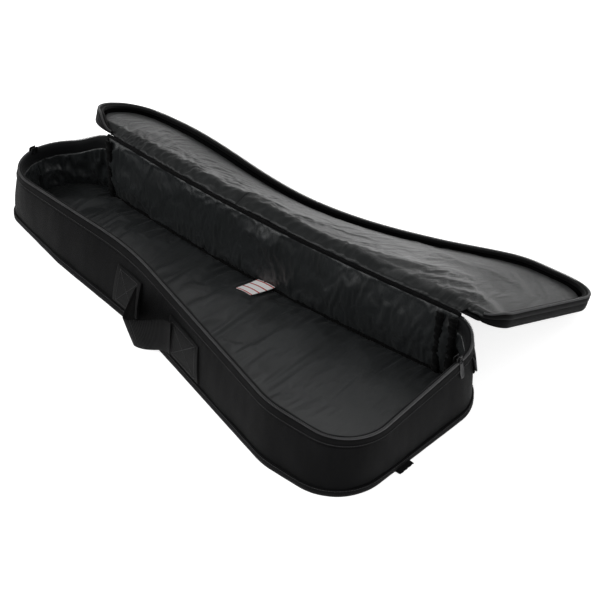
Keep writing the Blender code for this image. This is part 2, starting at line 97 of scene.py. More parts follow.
# Floor: a wide sheet of white paper, lit so evenly that it has no edge in view.
paper_half = 6.0
floor_mesh = bpy.data.meshes.new("studio_floor")
floor_mesh.from_pydata(
    [(-paper_half, -paper_half, 0), (paper_half, -paper_half, 0), (paper_half, paper_half, 0),
     (-paper_half, paper_half, 0)], [], [(0, 1, 2, 3)])
studio_floor = bpy.data.objects.new("studio_floor", floor_mesh)
scene.collection.objects.link(studio_floor)
paper = bpy.data.materials.new("white_paper")
paper.use_nodes = True
paper_shader = paper.node_tree.nodes["Principled BSDF"]
paper_shader.inputs["Base Color"].default_value = (0.92, 0.92, 0.92, 1.0)
paper_shader.inputs["Roughness"].default_value = 0.9
paper_shader.inputs["Specular IOR Level"].default_value = 0.1
paper_shader.inputs["Emission Color"].default_value = (1.0, 1.0, 1.0, 1.0)
paper_shader.inputs["Emission Strength"].default_value = 0.78
floor_mesh.materials.append(paper)

# Side wall, outside: black woven nylon, one long panel round both ends and the near side. It leans in and
# swells a little over its foam, has soft dents from handling, and puckers where it is sewn to the zip tape
# and the binding.
stations = 640
rim_corners = [(-0.387, 0.110, 0.085), (-0.387, -0.031, 0.070), (-0.092, -0.046, 0.50), (0.264, -0.153, 0.16),
               (0.397, -0.153, 0.059), (0.384, 0.110, 0.040)]
floor_corners = [(-0.398, 0.124, 0.089), (-0.392, -0.027, 0.045), (-0.232, -0.0625, 0.30),
                 (-0.012, -0.093, 0.40),
                 (0.269, -0.168, 0.12), (0.389, -0.166, 0.067), (0.400, 0.124, 0.070)]
rim_height = 0.0875
corner_rise = 0.0185
corner_run = 0.07
wall_swell = 0.0025
fabric = 0.0012


def run_length(path):
    """How far along a line of points each point is."""
    return np.r_[0, np.cumsum(np.linalg.norm(np.diff(path, axis=0), axis=1))]


def at_lengths(path, even):
    """The places at these distances along a line of points."""
    along = run_length(path)
    return np.stack([np.interp(even, along, path[:, i]) for i in range(path.shape[1])], axis=1)


def rounded_path(corners, count):
    """Evenly spaced points along a path with rounded corners, each given by its x, y and radius."""
    spots = [Vector(c[:2]) for c in corners]
    found = []
    for i, (_, _, radius) in enumerate(corners):
        into = (spots[i] - spots[i - 1]).normalized()
        out = (spots[(i + 1) % len(spots)] - spots[i]).normalized()
        turn = math.atan2(into.cross(out), into.dot(out))
        start = spots[i] - into * radius * math.tan(abs(turn) / 2)
        side = Vector((-into.y, into.x)) * math.copysign(1, turn)
        middle = start + side * radius
        for swing in np.linspace(0, turn, 24):
            arm = start - middle
            cos, sin = math.cos(swing), math.sin(swing)
            found.append((middle.x + arm.x * cos - arm.y * sin, middle.y + arm.x * sin + arm.y * cos))
    found = np.array(found)
    return at_lengths(found, np.linspace(0, run_length(found)[-1], count))


def smooth(t):
    t = np.clip(t, 0, 1)
    return t * t * (3 - 2 * t)


def outward_of(path):
    run = np.gradient(path, axis=0)
    run /= np.linalg.norm(run, axis=1)[:, None]
    return np.c_[run[:, 1], -run[:, 0]]


rim_path = rounded_path(rim_corners, stations)
floor_path = rounded_path(floor_corners, stations)
rim_out, floor_out = outward_of(rim_path), outward_of(floor_path)
wall_along = run_length(rim_path)
from_end = np.minimum(wall_along, wall_along[-1] - wall_along)
rim_z = rim_height + corner_rise * (1 - smooth(from_end / corner_run))


def ripple(points, scale, seed):
    """Smooth random heights from -1 to 1 over points in metres."""
    shift = Vector((seed * 7.3, seed * 3.1, seed * 5.7))
    return np.array([noise.noise(Vector(p) / scale + shift) for p in points])


def ripple_over(x, y, scale, seed):
    """The same over a plan, in the shape of x."""
    return ripple(np.c_[x.ravel(), y.ravel(), 0 * x.ravel()], scale, seed).reshape(x.shape)


def wall_row(z, inset, k=slice(None)):
    """Points round the wall at a height (or one for each station), this far in from its outer face."""
    z = np.broadcast_to(z, (stations,))[k]
    h = z / rim_z[k]
    plan = floor_path[k] * (1 - h)[:, None] + rim_path[k] * h[:, None]
    out = floor_out[k] * (1 - h)[:, None] + rim_out[k] * h[:, None]
    swell = wall_swell * np.sin(np.pi * np.clip(h, 0, 1))
    return np.c_[plan + out * (swell - inset)[:, None], z]


def mesh_piece(name, points, faces, uvs=None, smooth_faces=True):
    mesh = bpy.data.meshes.new(name)
    mesh.from_pydata([tuple(p) for p in points], [], faces)
    if uvs is not None:
        layer = mesh.uv_layers.new(name="cloth")
        layer.data.foreach_set("uv", np.asarray(uvs, np.float32).ravel())
    mesh.shade_smooth() if smooth_faces else mesh.shade_flat()
    piece = bpy.data.objects.new(name, mesh)
    scene.collection.objects.link(piece)
    return piece


def swept(name, rows, material, loop=False):
    """A closed strip. Each row is a line of points along it, in order round its section."""
    rows = np.array(rows)
    lines, count = rows.shape[:2]
    along = run_length(rows[0])
    if loop:
        along = np.r_[along, along[-1] + np.linalg.norm(rows[0][-1] - rows[0][0])]
    middle = rows[:, count // 2]
    across = np.r_[0, np.cumsum(np.linalg.norm(np.roll(middle, -1, axis=0) - middle, axis=1))]
    faces, uvs = [], []
    for j in range(lines):
        m = (j + 1) % lines
        for k in range(count if loop else count - 1):
            n = (k + 1) % count
            faces.append((j * count + k, j * count + n, m * count + n, m * count + k))
            uvs += [(along[k], across[j]), (along[k + 1], across[j]), (along[k + 1], across[j + 1]),
                    (along[k], across[j + 1])]
    if not loop:
        for end in (0, count - 1):
            order = list(range(lines)) if end == 0 else list(reversed(range(lines)))
            faces.append(tuple(j * count + end for j in order))
            uvs += [(along[end], across[j]) for j in order]
    piece = mesh_piece(name, rows.reshape(-1, 3), faces, uvs)
    outwards(piece)
    piece.data.materials.append(material)
    return piece


def outwards(piece):
    """Turns a closed mesh the right way out."""
    work = bmesh.new()
    work.from_mesh(piece.data)
    if work.calc_volume(signed=True) < 0:
        bmesh.ops.reverse_faces(work, faces=work.faces)
    work.to_mesh(piece.data)
    work.free()


def added(tree, kind, given=None, **levels):
    """A new node in a tree, with links into some inputs and levels for others (_ for a space in a name)."""
    node = tree.nodes.new(kind)
    for label, level in levels.items():
        node.inputs[label.replace("_", " ")].default_value = level
    for label, source in (given or {}).items():
        tree.links.new(source, node.inputs[label])
    return node


def shader_of(material):
    return material.node_tree.nodes["Principled BSDF"]


def new_material(name, **levels):
    """A material with these levels on its shader."""
    made = bpy.data.materials.new(name)
    made.use_nodes = True
    for label, level in levels.items():
        shader_of(made).inputs[label.replace("_", " ")].default_value = level
    return made


def cloudy(tree, grain, **levels):
    """Soft uneven noise on the object's coordinates, with patches of about this size in metres."""
    where = added(tree, "ShaderNodeTexCoord")
    return added(tree, "ShaderNodeTexNoise", {"Vector": where.outputs["Object"]}, Scale=1 / grain,
                 **levels).outputs["Fac"]


def toned(tree, share, dark, light, low=0.0, high=1.0):
    """A colour that goes from dark to light as the share rises from low to high."""
    ramp = added(tree, "ShaderNodeValToRGB", {"Fac": share})
    for stop, place, color in zip(ramp.color_ramp.elements, (low, high), (dark, light)):
        stop.position, stop.color = place, (*color, 1)
    return ramp.outputs["Color"]


def colored(material, color, shade=None, amount=0.0):
    """Gives the shader its colour, darkened by this amount of a shade."""
    tree = material.node_tree
    if shade:
        mix = added(tree, "ShaderNodeMix", Factor=amount)
        mix.data_type, mix.blend_type = "RGBA", "MULTIPLY"
        tree.links.new(color, mix.inputs[6])
        tree.links.new(shade, mix.inputs[7])
        color = mix.outputs[2]
    tree.links.new(color, shader_of(material).inputs["Base Color"])


def raised(material, height, distance, strength=1.0):
    """Gives the shader a bump this high in metres."""
    bump = added(material.node_tree, "ShaderNodeBump", {"Height": height}, Strength=strength,
                 Distance=distance)
    material.node_tree.links.new(bump.outputs["Normal"], shader_of(material).inputs["Normal"])


def waves(tree, pitch, direction, slant=0.0, **levels):
    """Even bands this far apart in metres across the piece's UVs, turned by a slant in radians."""
    turn = added(tree, "ShaderNodeMapping", {"Vector": added(tree, "ShaderNodeTexCoord").outputs["UV"]})
    turn.inputs["Rotation"].default_value[2] = slant
    bands_per_unit = 0.3183
    wave = added(tree, "ShaderNodeTexWave", {"Vector": turn.outputs["Vector"]},
                 Scale=bands_per_unit / pitch, **levels)
    wave.bands_direction = direction
    return wave


def scaled(color, factor):
    return tuple(c * factor for c in color)


def woven(name, color, roughness, sheen, pitch, depth, patch=0.25):
    """Plain woven cloth: crossed threads of this pitch as bump and as painted shade between them, and soft
    uneven dye and wear as colour.
    """
    made = new_material(name, Roughness=roughness, Sheen_Weight=sheen, Sheen_Roughness=0.45,
                        Specular_IOR_Level=0.05)
    tree = made.node_tree
    warp, weft = (waves(tree, pitch, way, Distortion=0.6, Detail_Scale=3.0).outputs["Fac"] for way in ("X",
                                                                                                       "Y"))
    weave = added(tree, "ShaderNodeMath", {0: warp, 1: weft})
    weave.operation = "MULTIPLY"
    raised(made, weave.outputs[0], depth, strength=0.5)
    dye = toned(tree, cloudy(tree, 0.045, Detail=5.0), scaled(color, 1 - patch), scaled(color, 1 + patch),
                0.3, 0.75)
    # painted shade between the threads: the weave pattern darkens the dyed colour by up to 0.35
    colored(made, dye, weave.outputs[0], 0.35)
    return made


shell_nylon = woven("shell_nylon", (0.0024, 0.0025, 0.0029), 0.66, 0.02, 0.0008, 0.00025)
tape_depth = 0.0105
wall_low = 0.0075
wall_rows = []
tape_low = rim_z - 0.0030 - tape_depth
for share in np.linspace(0, 1, 15):
    line = wall_row(wall_low + (tape_low + 0.0015 - wall_low) * share, 0.0)
    dents = 0.0011 * ripple(line, 0.055, 1) + 0.0004 * ripple(line * [1, 1, 0.4], 0.014, 2)
    pucker = 0.0007 * (abs(2 * share - 1) ** 6) * ripple(line * [1, 1, 0], 0.006, 3)
    line[:, :2] += rim_out * (dents + pucker)[:, None]
    wall_rows.append(line)
for share in np.linspace(1, 0, 4):
    wall_rows.append(wall_row(wall_low + (tape_low + 0.0015 - wall_low) * share, fabric + 0.0015))
wall_cloth = swept("wall_cloth", wall_rows, shell_nylon)
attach(wall_cloth, "bag")
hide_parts("wall_outer", "wall_foam_narrow_end", "wall_foam_waist", "wall_foam_flare",
            "wall_foam_wide_end")

# Bottom: the same nylon over a foam sheet, flat on the floor.
bottom_rows = []
for inset, z in ((0.0012, 0.0080), (-0.0002, 0.0030), (0.0010, 0.0004), (0.0300, 0.0002)):
    bottom_rows.append(np.c_[floor_path - floor_out * inset, np.full(stations, z)])
points = np.vstack(bottom_rows)
faces = []
for j in range(len(bottom_rows) - 1):
    for k in range(stations):
        n = (k + 1) % stations
        faces.append((j * stations + k, j * stations + n, (j + 1) * stations + n, (j + 1) * stations + k))
faces.append(tuple((len(bottom_rows) - 1) * stations + k for k in range(stations)))
faces.append(tuple(reversed(range(stations))))
uvs = [tuple(points[v][:2]) for face in faces for v in face]
bottom_cloth = mesh_piece("bottom_cloth", points, faces, uvs)
outwards(bottom_cloth)
bottom_cloth.data.materials.append(shell_nylon)
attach(bottom_cloth, "bag")
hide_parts("base_outer", "base_foam")

# Binding of the bottom seam: a 22 mm grosgrain tape folded over the raw edges and stitched, with its ribs
# across it.


def ribbed(name, color, roughness, pitch, depth, slant=0.0):
    """Ribbed tape: raised ribs across the tape's length, with painted shade between them and a painted
    highlight on their tops.
    """
    made = new_material(name, Roughness=roughness, Sheen_Weight=0.04, Specular_IOR_Level=0.05)
    tree = made.node_tree
    ribs = waves(tree, pitch, "X", slant, Distortion=0.3).outputs["Fac"]
    raised(made, ribs, depth, strength=0.8)
    # painted shade and highlight: the rib pattern takes the colour from dark in the grooves to light on the
    # rib tops
    colored(made, toned(tree, ribs, scaled(color, 0.45), scaled(color, 1.35), 0.25, 0.85),
            cloudy(tree, 0.012), 0.5)
    return made


grosgrain = ribbed("grosgrain", (0.0050, 0.0050, 0.0055), 0.8, 0.0022, 0.0004, slant=0.5)
binding_section = [(-0.0022, 0.0012), (-0.0026, 0.0045), (-0.0023, 0.0085), (-0.0010, 0.0112),
                   (0.0010, 0.0108),
                   (0.0012, 0.0085), (0.0, 0.0045), (0.0, 0.0014)]
binding_rows = []
for inset, z in binding_section:
    line = wall_row(z, inset)
    line[:, 2] += 0.0004 * ripple(line * [1, 1, 0], 0.018, 5)
    binding_rows.append(line)
bottom_binding = swept("bottom_binding", binding_rows, grosgrain)
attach(bottom_binding, "bag")
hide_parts("base_binding")

# Zip tape on the bag's half: a ribbed woven tape sewn outside the rim, its stitched edge turned over the
# wall panel.
zip_tape_weave = ribbed("zip_tape_weave", (0.0050, 0.0050, 0.0054), 0.8, 0.0016, 0.0003, slant=0.7)
tape_top = rim_z - 0.0026
tape_rows = []
for share, inset in ((0.0, -0.0004), (0.04, -0.0016), (0.12, -0.0014), (0.5, -0.0009), (0.9, -0.0010),
                     (1.0, -0.0004)):
    line = wall_row(tape_low + (tape_top - tape_low) * share, inset)
    line[:, :2] += rim_out * (0.0005 * ripple(line * [1, 1, 0.3], 0.020, 6))[:, None]
    tape_rows.append(line)
tape_rows += [wall_row(tape_top, 0.0012), wall_row(tape_low, 0.0012)]
zip_tape = swept("zip_tape", tape_rows, zip_tape_weave)
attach(zip_tape, "bag")
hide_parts("body_zip_tape")

# Stitching: dark thread in short runs. One row holds the zip tape and one the bottom binding.


def run_stitches(name, path, stitch, ride_on, material, turn=0.0, lift=None):
    """A row of stitches along a line, each a small bar that dips into the cloth at its ends. A stitch is given
    by its pitch, length, width and depth."""
    pitch, *size = stitch
    path = np.array(path)
    even = np.arange(pitch / 2, run_length(path)[-1], pitch)
    spots, ahead = at_lengths(path, even), at_lengths(path, even + pitch * 0.1)
    line = mesh_piece(name + "_line", spots, [])
    run = ahead - spots
    run /= np.linalg.norm(run, axis=1)[:, None] + 1e-12
    out = np.cross(run, [0, 0, 1]) if lift is None else np.broadcast_to(lift, run.shape)
    out = out / (np.linalg.norm(out, axis=1)[:, None] + 1e-12)
    for label, values in (("run", run), ("out", out)):
        held = line.data.attributes.new(label, "FLOAT_VECTOR", "POINT")
        held.data.foreach_set("vector", values.astype(np.float32).ravel())
    made = repeated(line, stitch_shape(), size, turn, material)
    made.name = name
    if ride_on:
        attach(made, ride_on)
    return made


def stitch_shape():
    """A unit bar along X, thick in its middle and tapered at both ends, six sides round."""
    if "stitch_form" in bpy.data.objects:
        return bpy.data.objects["stitch_form"]
    rings = [(-0.5, 0.25, -0.35), (-0.3, 0.5, 0.0), (0.3, 0.5, 0.0), (0.5, 0.25, -0.35)]
    points = [(x, r * math.cos(a), z + r * math.sin(a)) for x, r, z in rings
              for a in (math.tau * i / 6 for i in range(6))]
    faces = [(j * 6 + i, j * 6 + (i + 1) % 6, j * 6 + 6 + (i + 1) % 6,
              j * 6 + 6 + i) for j in range(3) for i in range(6)]
    faces += [tuple(reversed(range(6))), tuple(range(18, 24))]
    form = mesh_piece("stitch_form", points, faces)
    outwards(form)
    form.hide_render = True
    return form


def repeated(line, form, size, turn, material):
    """Copies a small form onto every point of a line with Geometry Nodes and makes them one plain mesh."""
    tree = bpy.data.node_groups.new("repeat_along", "GeometryNodeTree")
    tree.interface.new_socket("Geometry", in_out="INPUT", socket_type="NodeSocketGeometry")
    wide = tree.interface.new_socket("Size", in_out="INPUT", socket_type="NodeSocketVector")
    leaning = tree.interface.new_socket("Turn", in_out="INPUT", socket_type="NodeSocketFloat")
    tree.interface.new_socket("Geometry", in_out="OUTPUT", socket_type="NodeSocketGeometry")
    given, ready = added(tree, "NodeGroupInput"), added(tree, "NodeGroupOutput")
    shape = added(tree, "GeometryNodeObjectInfo", Object=form)
    facing = None
    for label, axis in (("run", "X"), ("out", "Z")):
        read = added(tree, "GeometryNodeInputNamedAttribute", Name=label)
        read.data_type = "FLOAT_VECTOR"
        face = added(tree, "FunctionNodeAlignRotationToVector", {"Vector": read.outputs["Attribute"]})
        face.axis = axis
        if facing:
            face.pivot_axis = "X"
            tree.links.new(facing, face.inputs["Rotation"])
        facing = face.outputs["Rotation"]
    about = added(tree, "FunctionNodeAxisAngleToRotation", {"Angle": given.outputs["Turn"]}, Axis=(0, 0, 1))
    spun = added(tree, "FunctionNodeRotateRotation",
                 {"Rotation": facing, "Rotate By": about.outputs["Rotation"]})
    spun.rotation_space = "LOCAL"
    spread = added(tree, "GeometryNodeInstanceOnPoints", {
        "Points": given.outputs["Geometry"], "Instance": shape.outputs["Geometry"],
        "Rotation": spun.outputs["Rotation"], "Scale": given.outputs["Size"]})
    real = added(tree, "GeometryNodeRealizeInstances", {"Geometry": spread.outputs["Instances"]})
    paint = added(tree, "GeometryNodeSetMaterial", {"Geometry": real.outputs["Geometry"]}, Material=material)
    tree.links.new(paint.outputs["Geometry"], ready.inputs["Geometry"])
    modifier = line.modifiers.new("repeat", "NODES")
    modifier.node_group = tree
    modifier[wide.identifier] = size
    modifier[leaning.identifier] = turn
    mesh = bpy.data.meshes.new_from_object(line.evaluated_get(bpy.context.evaluated_depsgraph_get()))
    made = bpy.data.objects.new(line.name, mesh)
    scene.collection.objects.link(made)
    bpy.data.objects.remove(line)
    mesh.shade_smooth()
    return made


def plain_thread(name, color, roughness):
    """Twisted sewing thread: a fine twist as bump and a slight change of shade along it."""
    made = new_material(name, Roughness=roughness)
    twist = cloudy(made.node_tree, 0.0016)
    colored(made, toned(made.node_tree, twist, scaled(color, 0.6), scaled(color, 1.5)))
    raised(made, twist, 0.0001)
    return made


black_thread = plain_thread("black_thread", (0.020, 0.020, 0.021), 0.6)
seam_stitch = (0.0034, 0.0026, 0.0006, 0.0007)
tape_stitches = run_stitches("tape_stitches", wall_row(tape_low + 0.0022, -0.0016), seam_stitch,
                             "bag", black_thread)
binding_stitches = run_stitches("binding_stitches", wall_row(0.0094, -0.0024), seam_stitch, "bag",
                                black_thread)

# Coil of the zip, bag's half: one nylon filament wound and sewn along the tape's edge. Each turn shows as a
# short slanted rib over the rim, paler where sliders have polished it.
coil_nylon = new_material("coil_nylon", Roughness=0.33)
coil_wear = cloudy(coil_nylon.node_tree, 0.008)
colored(coil_nylon, toned(coil_nylon.node_tree, coil_wear, (0.018, 0.018, 0.019), (0.060, 0.060, 0.062)))
coil_turn = (0.0024, 0.0017, 0.0046, 0.0026)


def coil_turns(name, path, lift, turn=0.55):
    """The turns of a zip coil along a line of points, each lying over the edge that the line follows."""
    return run_stitches(name, path, coil_turn, None, coil_nylon, turn, lift)


zip_coil = coil_turns("zip_coil", wall_row(rim_z - 0.0014, 0.0004), (0, 0, 1))
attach(zip_coil, "bag")
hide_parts("body_zip_coil")

# Facing: a smooth nylon band that folds in from the zip over the foam's top edge and down the inside of the
# wall.
facing_nylon = woven("facing_nylon", (0.0095, 0.0100, 0.0108), 0.5, 0.06, 0.0006, 0.00015)
facing_rows = []
for inset, drop in ((0.0016, 0.0016), (0.0034, 0.0010), (0.0058, 0.0022), (0.0084, 0.0070), (0.0098, 0.0140),
                    (0.0102, 0.0222), (0.0090, 0.0222), (0.0060, 0.0090), (0.0022, 0.0044)):
    line = wall_row(rim_z - drop, inset)
    line[:, :2] += rim_out * (0.0007 * ripple(line * [1, 1, 0.5], 0.022, 8))[:, None]
    line[:, 2] += 0.0005 * ripple(line * [1, 1, 0], 0.030, 9)
    facing_rows.append(line)
facing_band = swept("facing_band", facing_rows, facing_nylon)
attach(facing_band, "bag")
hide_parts("rim_facing")

# Wall lining: satin nylon, cut longer than the wall and gathered into the facing and the floor seam at both
# ends, so it hangs in upright pleats there and lies nearly smooth along the near side.
lining_satin = woven("lining_satin", (0.0190, 0.0218, 0.0228), 0.40, 0.04, 0.0005, 0.0001, patch=0.18)
shader_of(lining_satin).inputs["Specular IOR Level"].default_value = 0.5
shader_of(lining_satin).inputs["Anisotropic"].default_value = 0.3
at_narrow = smooth((0.30 - wall_along) / 0.10)
at_wide = smooth((wall_along - (wall_along[-1] - 0.36)) / 0.10)
gathered = np.clip(at_narrow + 0.65 * at_wide + 0.16, 0, 1)
lining_rows = []
lining_low, lining_top = 0.0095, rim_z - 0.0195
for share in np.linspace(1, 0, 26):
    z = lining_low + (lining_top - lining_low) * share
    line = wall_row(z, 0.0106)
    track = np.c_[wall_along, np.full(stations, share * 0.035), np.zeros(stations)]
    broad = ripple(track, 0.0135, 11)
    fine = ripple(track + [0, share * 0.004, 0], 0.0052, 12)
    belly = math.sin(math.pi * min(1, share * 0.96 + 0.02)) ** 0.6
    ridge = 1 - 2 * np.abs(broad)
    push = gathered * (0.0055 * belly * ridge + 0.0018 * fine * (1.2 - belly)) + 0.0010 * belly
    line[:, :2] -= rim_out * np.maximum(push, -0.0008)[:, None]
    lining_rows.append(line)
lining_back = [wall_row(lining_low, 0.0088), wall_row(lining_top, 0.0088)]
wall_lining_cloth = swept("wall_lining_cloth", lining_rows + lining_back, lining_satin)
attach(wall_lining_cloth, "bag")
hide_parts("wall_lining")

# Floor lining: the same satin over foam, cut a little large and sewn in all round, so it draws into fine
# wrinkles out of the spine seam. Its cut shape is longer and wider than its place, and a cloth simulation
# lets the spare settle.
fold_bow = 0.0140
seam_bow = 0.015
spine_from, spine_to = -0.302, 0.345


def bow_at(x, most):
    return most * np.sin(np.pi * np.clip((x - spine_from) / (spine_to - spine_from), 0, 1))


def through(keys, t):
    """A smooth curve (Catmull and Rom's) through keys along their first axis, at t counted in keys."""
    ends = np.concatenate([2 * keys[:1] - keys[1:2], keys, 2 * keys[-1:] - keys[-2:-1]])
    i = t.astype(int)
    u = (t - i).reshape(-1, *[1] * (keys.ndim - 1))
    a, b, c, d = ends[i], ends[i + 1], ends[i + 2], ends[i + 3]
    return 0.5 * (2 * b + (c - a) * u + (2 * a - 5 * b + 4 * c - d) * u ** 2 + (3 * b - a - 3 * c + d)
                  * u ** 3)


def refined(grid, times):
    """The same cloth with its columns this many times closer, on a smooth curve through each row."""
    last = grid.shape[1] - 1
    t = np.linspace(0, last - 1e-6, last * times + 1)
    return through(grid.transpose(1, 0, 2), t).transpose(1, 0, 2)


def puckers(x, away, seed, reach=0.012):
    """Small gathers beside a seam: short folds drawn in by the stitches, dying away from it."""
    slow = 0.10 * away
    folds = ripple_over(x, slow, 0.0036, seed) + 0.7 * ripple_over(x, slow, 0.0075, seed + 1)
    longer = 1 + 0.8 * ripple_over(x, slow, 0.030, seed + 2)
    return folds * np.exp(-away / (reach * longer.clip(0.4, 2))) * smooth(away / 0.0015)


def columns(low, high, count, gather=0.65):
    """Column places from low to high, closer together towards both ends."""
    t = np.linspace(0, 1, count)
    t = t - gather * np.sin(math.tau * t) / math.tau
    return low + (high - low) * t


def span_at(path, x):
    """The two y values where the line x crosses an outline."""
    low, high = np.full(len(x), 9.0), np.full(len(x), -9.0)
    closed = np.vstack([path, path[:1]])
    for (ax, ay), (bx, by) in zip(closed, closed[1:]):
        hit = (x >= min(ax, bx)) & (x <= max(ax, bx)) & (abs(bx - ax) > 1e-9)
        if hit.any():
            y = ay + (by - ay) * (x[hit] - ax) / (bx - ax)
            low[hit] = np.minimum(low[hit], y)
            high[hit] = np.maximum(high[hit], y)
    return low, high


def sheet_mesh(name, grid, uv):
    """One layer of cloth from a grid of points."""
    rows, cols = grid.shape[:2]
    faces = [(r * cols + c, r * cols + c + 1, (r + 1) * cols + c + 1, (r + 1) * cols + c)
             for r in range(rows - 1) for c in range(cols - 1)]
    flat = uv.reshape(-1, 2)
    return mesh_piece(name, grid.reshape(-1, 3), faces, [flat[v] for face in faces for v in face])


def settled(name, grid, uv, loose, spare, frames=22, stiff=15.0, bend=0.05):
    """Cloth sewn in all round its edge. Where it is loose (0 to 1) it was cut larger than its place by this
    share, and the spare rises in wrinkles."""
    cloth = sheet_mesh(name, grid, uv)
    edge = np.ones(grid.shape[:2], bool)
    edge[1:-1, 1:-1] = False
    group = cloth.vertex_groups.new(name="sewn")
    group.add([int(i) for i in np.where(edge.reshape(-1))[0]], 1.0, "REPLACE")
    taut = cloth.vertex_groups.new(name="taut")
    for index, share in enumerate(1 - np.broadcast_to(loose, edge.shape).reshape(-1)):
        taut.add([index], float(share), "REPLACE")
    modifier = cloth.modifiers.new("settle", "CLOTH")
    s = modifier.settings
    s.quality = 5
    s.mass = 0.05
    s.air_damping = 2.0
    s.tension_stiffness = s.compression_stiffness = stiff
    s.shear_stiffness = stiff * 0.4
    s.bending_stiffness = bend
    s.vertex_group_mass = "sewn"
    s.pin_stiffness = 50.0
    s.shrink_min, s.shrink_max = -spare, 0.0
    s.vertex_group_shrink = "taut"
    s.effector_weights.gravity = 0.0
    modifier.collision_settings.use_collision = False
    modifier.collision_settings.use_self_collision = False
    modifier.point_cache.frame_start, modifier.point_cache.frame_end = 1, frames
    for frame_number in range(1, frames + 1):
        scene.frame_set(frame_number)
    ready = cloth.evaluated_get(bpy.context.evaluated_depsgraph_get())
    co = np.zeros(len(ready.data.vertices) * 3)
    ready.data.vertices.foreach_get("co", co)
    bpy.data.objects.remove(cloth)
    scene.frame_set(1)
    return co.reshape(grid.shape)


def rested(grid, start, axis, toward):
    """Keeps settled cloth from sinking into the foam behind it: dips into the foam are cut to a third."""
    rise = (grid[..., axis] - start[..., axis]) * toward
    lifted = grid.copy()
    lifted[..., axis] = start[..., axis] + toward * np.where(rise < 0, rise * 0.34, rise)
    return lifted


def finished_cloth(name, grid, uv, thickness, material, levels=0):
    """A single layer made a closed cloth: smoothed if asked, then thickened on its hidden side."""
    piece = sheet_mesh(name, grid, uv)
    piece.data.materials.append(material)
    if levels:
        fine = piece.modifiers.new("smooth", "SUBSURF")
        fine.levels = fine.render_levels = levels
    wall = piece.modifiers.new("thickness", "SOLIDIFY")
    wall.thickness = thickness
    wall.offset = -1
    return piece


bed_inset = 0.0085
bed_outline = floor_path - floor_out * bed_inset
floor_cols, floor_rows = 176, 58
floor_from, floor_to = -0.386, 0.390
floor_x = columns(floor_from, floor_to, floor_cols, 0.6)
floor_x = np.clip(floor_x, bed_outline[:, 0].min() + 0.0005, bed_outline[:, 0].max() - 0.0005)
floor_x = np.sort(floor_x) + np.linspace(-0.0002, 0.0002, floor_cols)
near_y, far_y = span_at(bed_outline, floor_x)
seam_y = np.where((floor_x > spine_from) & (floor_x < spine_to), 0.1015 - bow_at(floor_x, seam_bow), far_y)
far_y = np.minimum(far_y, seam_y)
v = np.linspace(0, 1, floor_rows)[:, None]
floor_grid = np.zeros((floor_rows, floor_cols, 3))
floor_grid[..., 0] = floor_x
floor_grid[..., 1] = near_y + (far_y - near_y) * v
edge = np.minimum(v, 1 - v) * (far_y - near_y)
edge = np.minimum(edge, np.minimum(floor_x - floor_from, floor_to - floor_x)[None, :])
crown = 0.0030 * smooth(edge / 0.035)
floor_grid[..., 2] = 0.0100 + crown
foam_grid = floor_grid.copy()
inner = floor_grid[1:-1, 1:-1].reshape(-1, 3)
crease = 0.0009 * ripple(inner * [1, 0.16, 0], 0.0085, 21) + 0.0008 * ripple(inner * [1, 0.35, 0], 0.020, 22)
floor_grid[1:-1, 1:-1, 2] += crease.reshape(floor_rows - 2, floor_cols - 2)
floor_uv = floor_grid[..., :2].copy()
from_seam = far_y - floor_grid[..., 1]
floor_loose = 0.45 + 0.55 * np.exp(-from_seam / 0.06) - 0.30 * smooth((floor_x - 0.10) / 0.20)
floor_loose = np.clip(floor_loose + 0.25 * smooth((-0.16 - floor_x) / 0.10), 0.1, 1.0)
floor_done = rested(settled("floor_cloth", floor_grid, floor_uv, floor_loose, 0.030), foam_grid, 2, 1)
floor_done, floor_uv = refined(floor_done, 3), refined(floor_uv, 3)
floor_seam_y = np.where((floor_done[..., 0] > spine_from) & (floor_done[..., 0] < spine_to),
                        0.1015 - bow_at(floor_done[..., 0], seam_bow), 0.1200)
floor_done[..., 2] += 0.0011 * puckers(floor_done[..., 0],
                                       np.clip(floor_seam_y - floor_done[..., 1], 0, None), 24, 0.016)
floor_lining_cloth = finished_cloth("floor_lining_cloth", floor_done, floor_uv, 0.0009, lining_satin)
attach(floor_lining_cloth, "bag")
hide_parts("base_lining")

# Spine lining: the upright panel between the floor seam and the fold, crumpled because the spine bends each
# time the bag is opened.
spine_cols, spine_rows, spine_height = 170, 30, 0.097
spine_x = columns(spine_from, spine_to, spine_cols, 0.0)
v = np.linspace(0, 1, spine_rows)[:, None]
foot = np.c_[spine_x, 0.1010 - bow_at(spine_x, seam_bow), np.full(spine_cols, 0.0125)]
head = np.c_[spine_x, 0.1078 - bow_at(spine_x, fold_bow), np.full(spine_cols, 0.1074)]
spine_grid = foot[None] * (1 - v[..., None]) + head[None] * v[..., None]
spine_grid[..., 1] -= 0.0050 * np.sin(np.pi * v)
foam_grid = spine_grid.copy()
start = spine_grid[1:-1, 1:-1].reshape(-1, 3)
spine_grid[1:-1, 1:-1,
           1] -= 0.0016 * np.abs(ripple(start * [1, 1, 0.35], 0.011, 31)).reshape(spine_rows - 2,
                                                                                  spine_cols - 2)
spine_uv = np.dstack([np.broadcast_to(spine_x, (spine_rows, spine_cols)),
                      np.broadcast_to(v * spine_height, (spine_rows, spine_cols))])
spine_loose = 0.65 + 0.35 * np.cos((spine_x + 0.10) / 0.11)
spine_done = rested(settled("spine_cloth", spine_grid, spine_uv, spine_loose, 0.045), foam_grid, 1, -1)
spine_done, spine_uv = refined(spine_done, 3), refined(spine_uv, 3)
for away, seed in ((spine_uv[..., 1], 34), (spine_height - spine_uv[..., 1], 37)):
    spine_done[..., 1] -= 0.0010 * puckers(spine_uv[..., 0], np.clip(away, 0, None), seed)
spine_lining_cloth = finished_cloth("spine_lining_cloth", spine_done, spine_uv, 0.0009, lining_satin)
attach(spine_lining_cloth, "bag")
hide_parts("spine_lining")

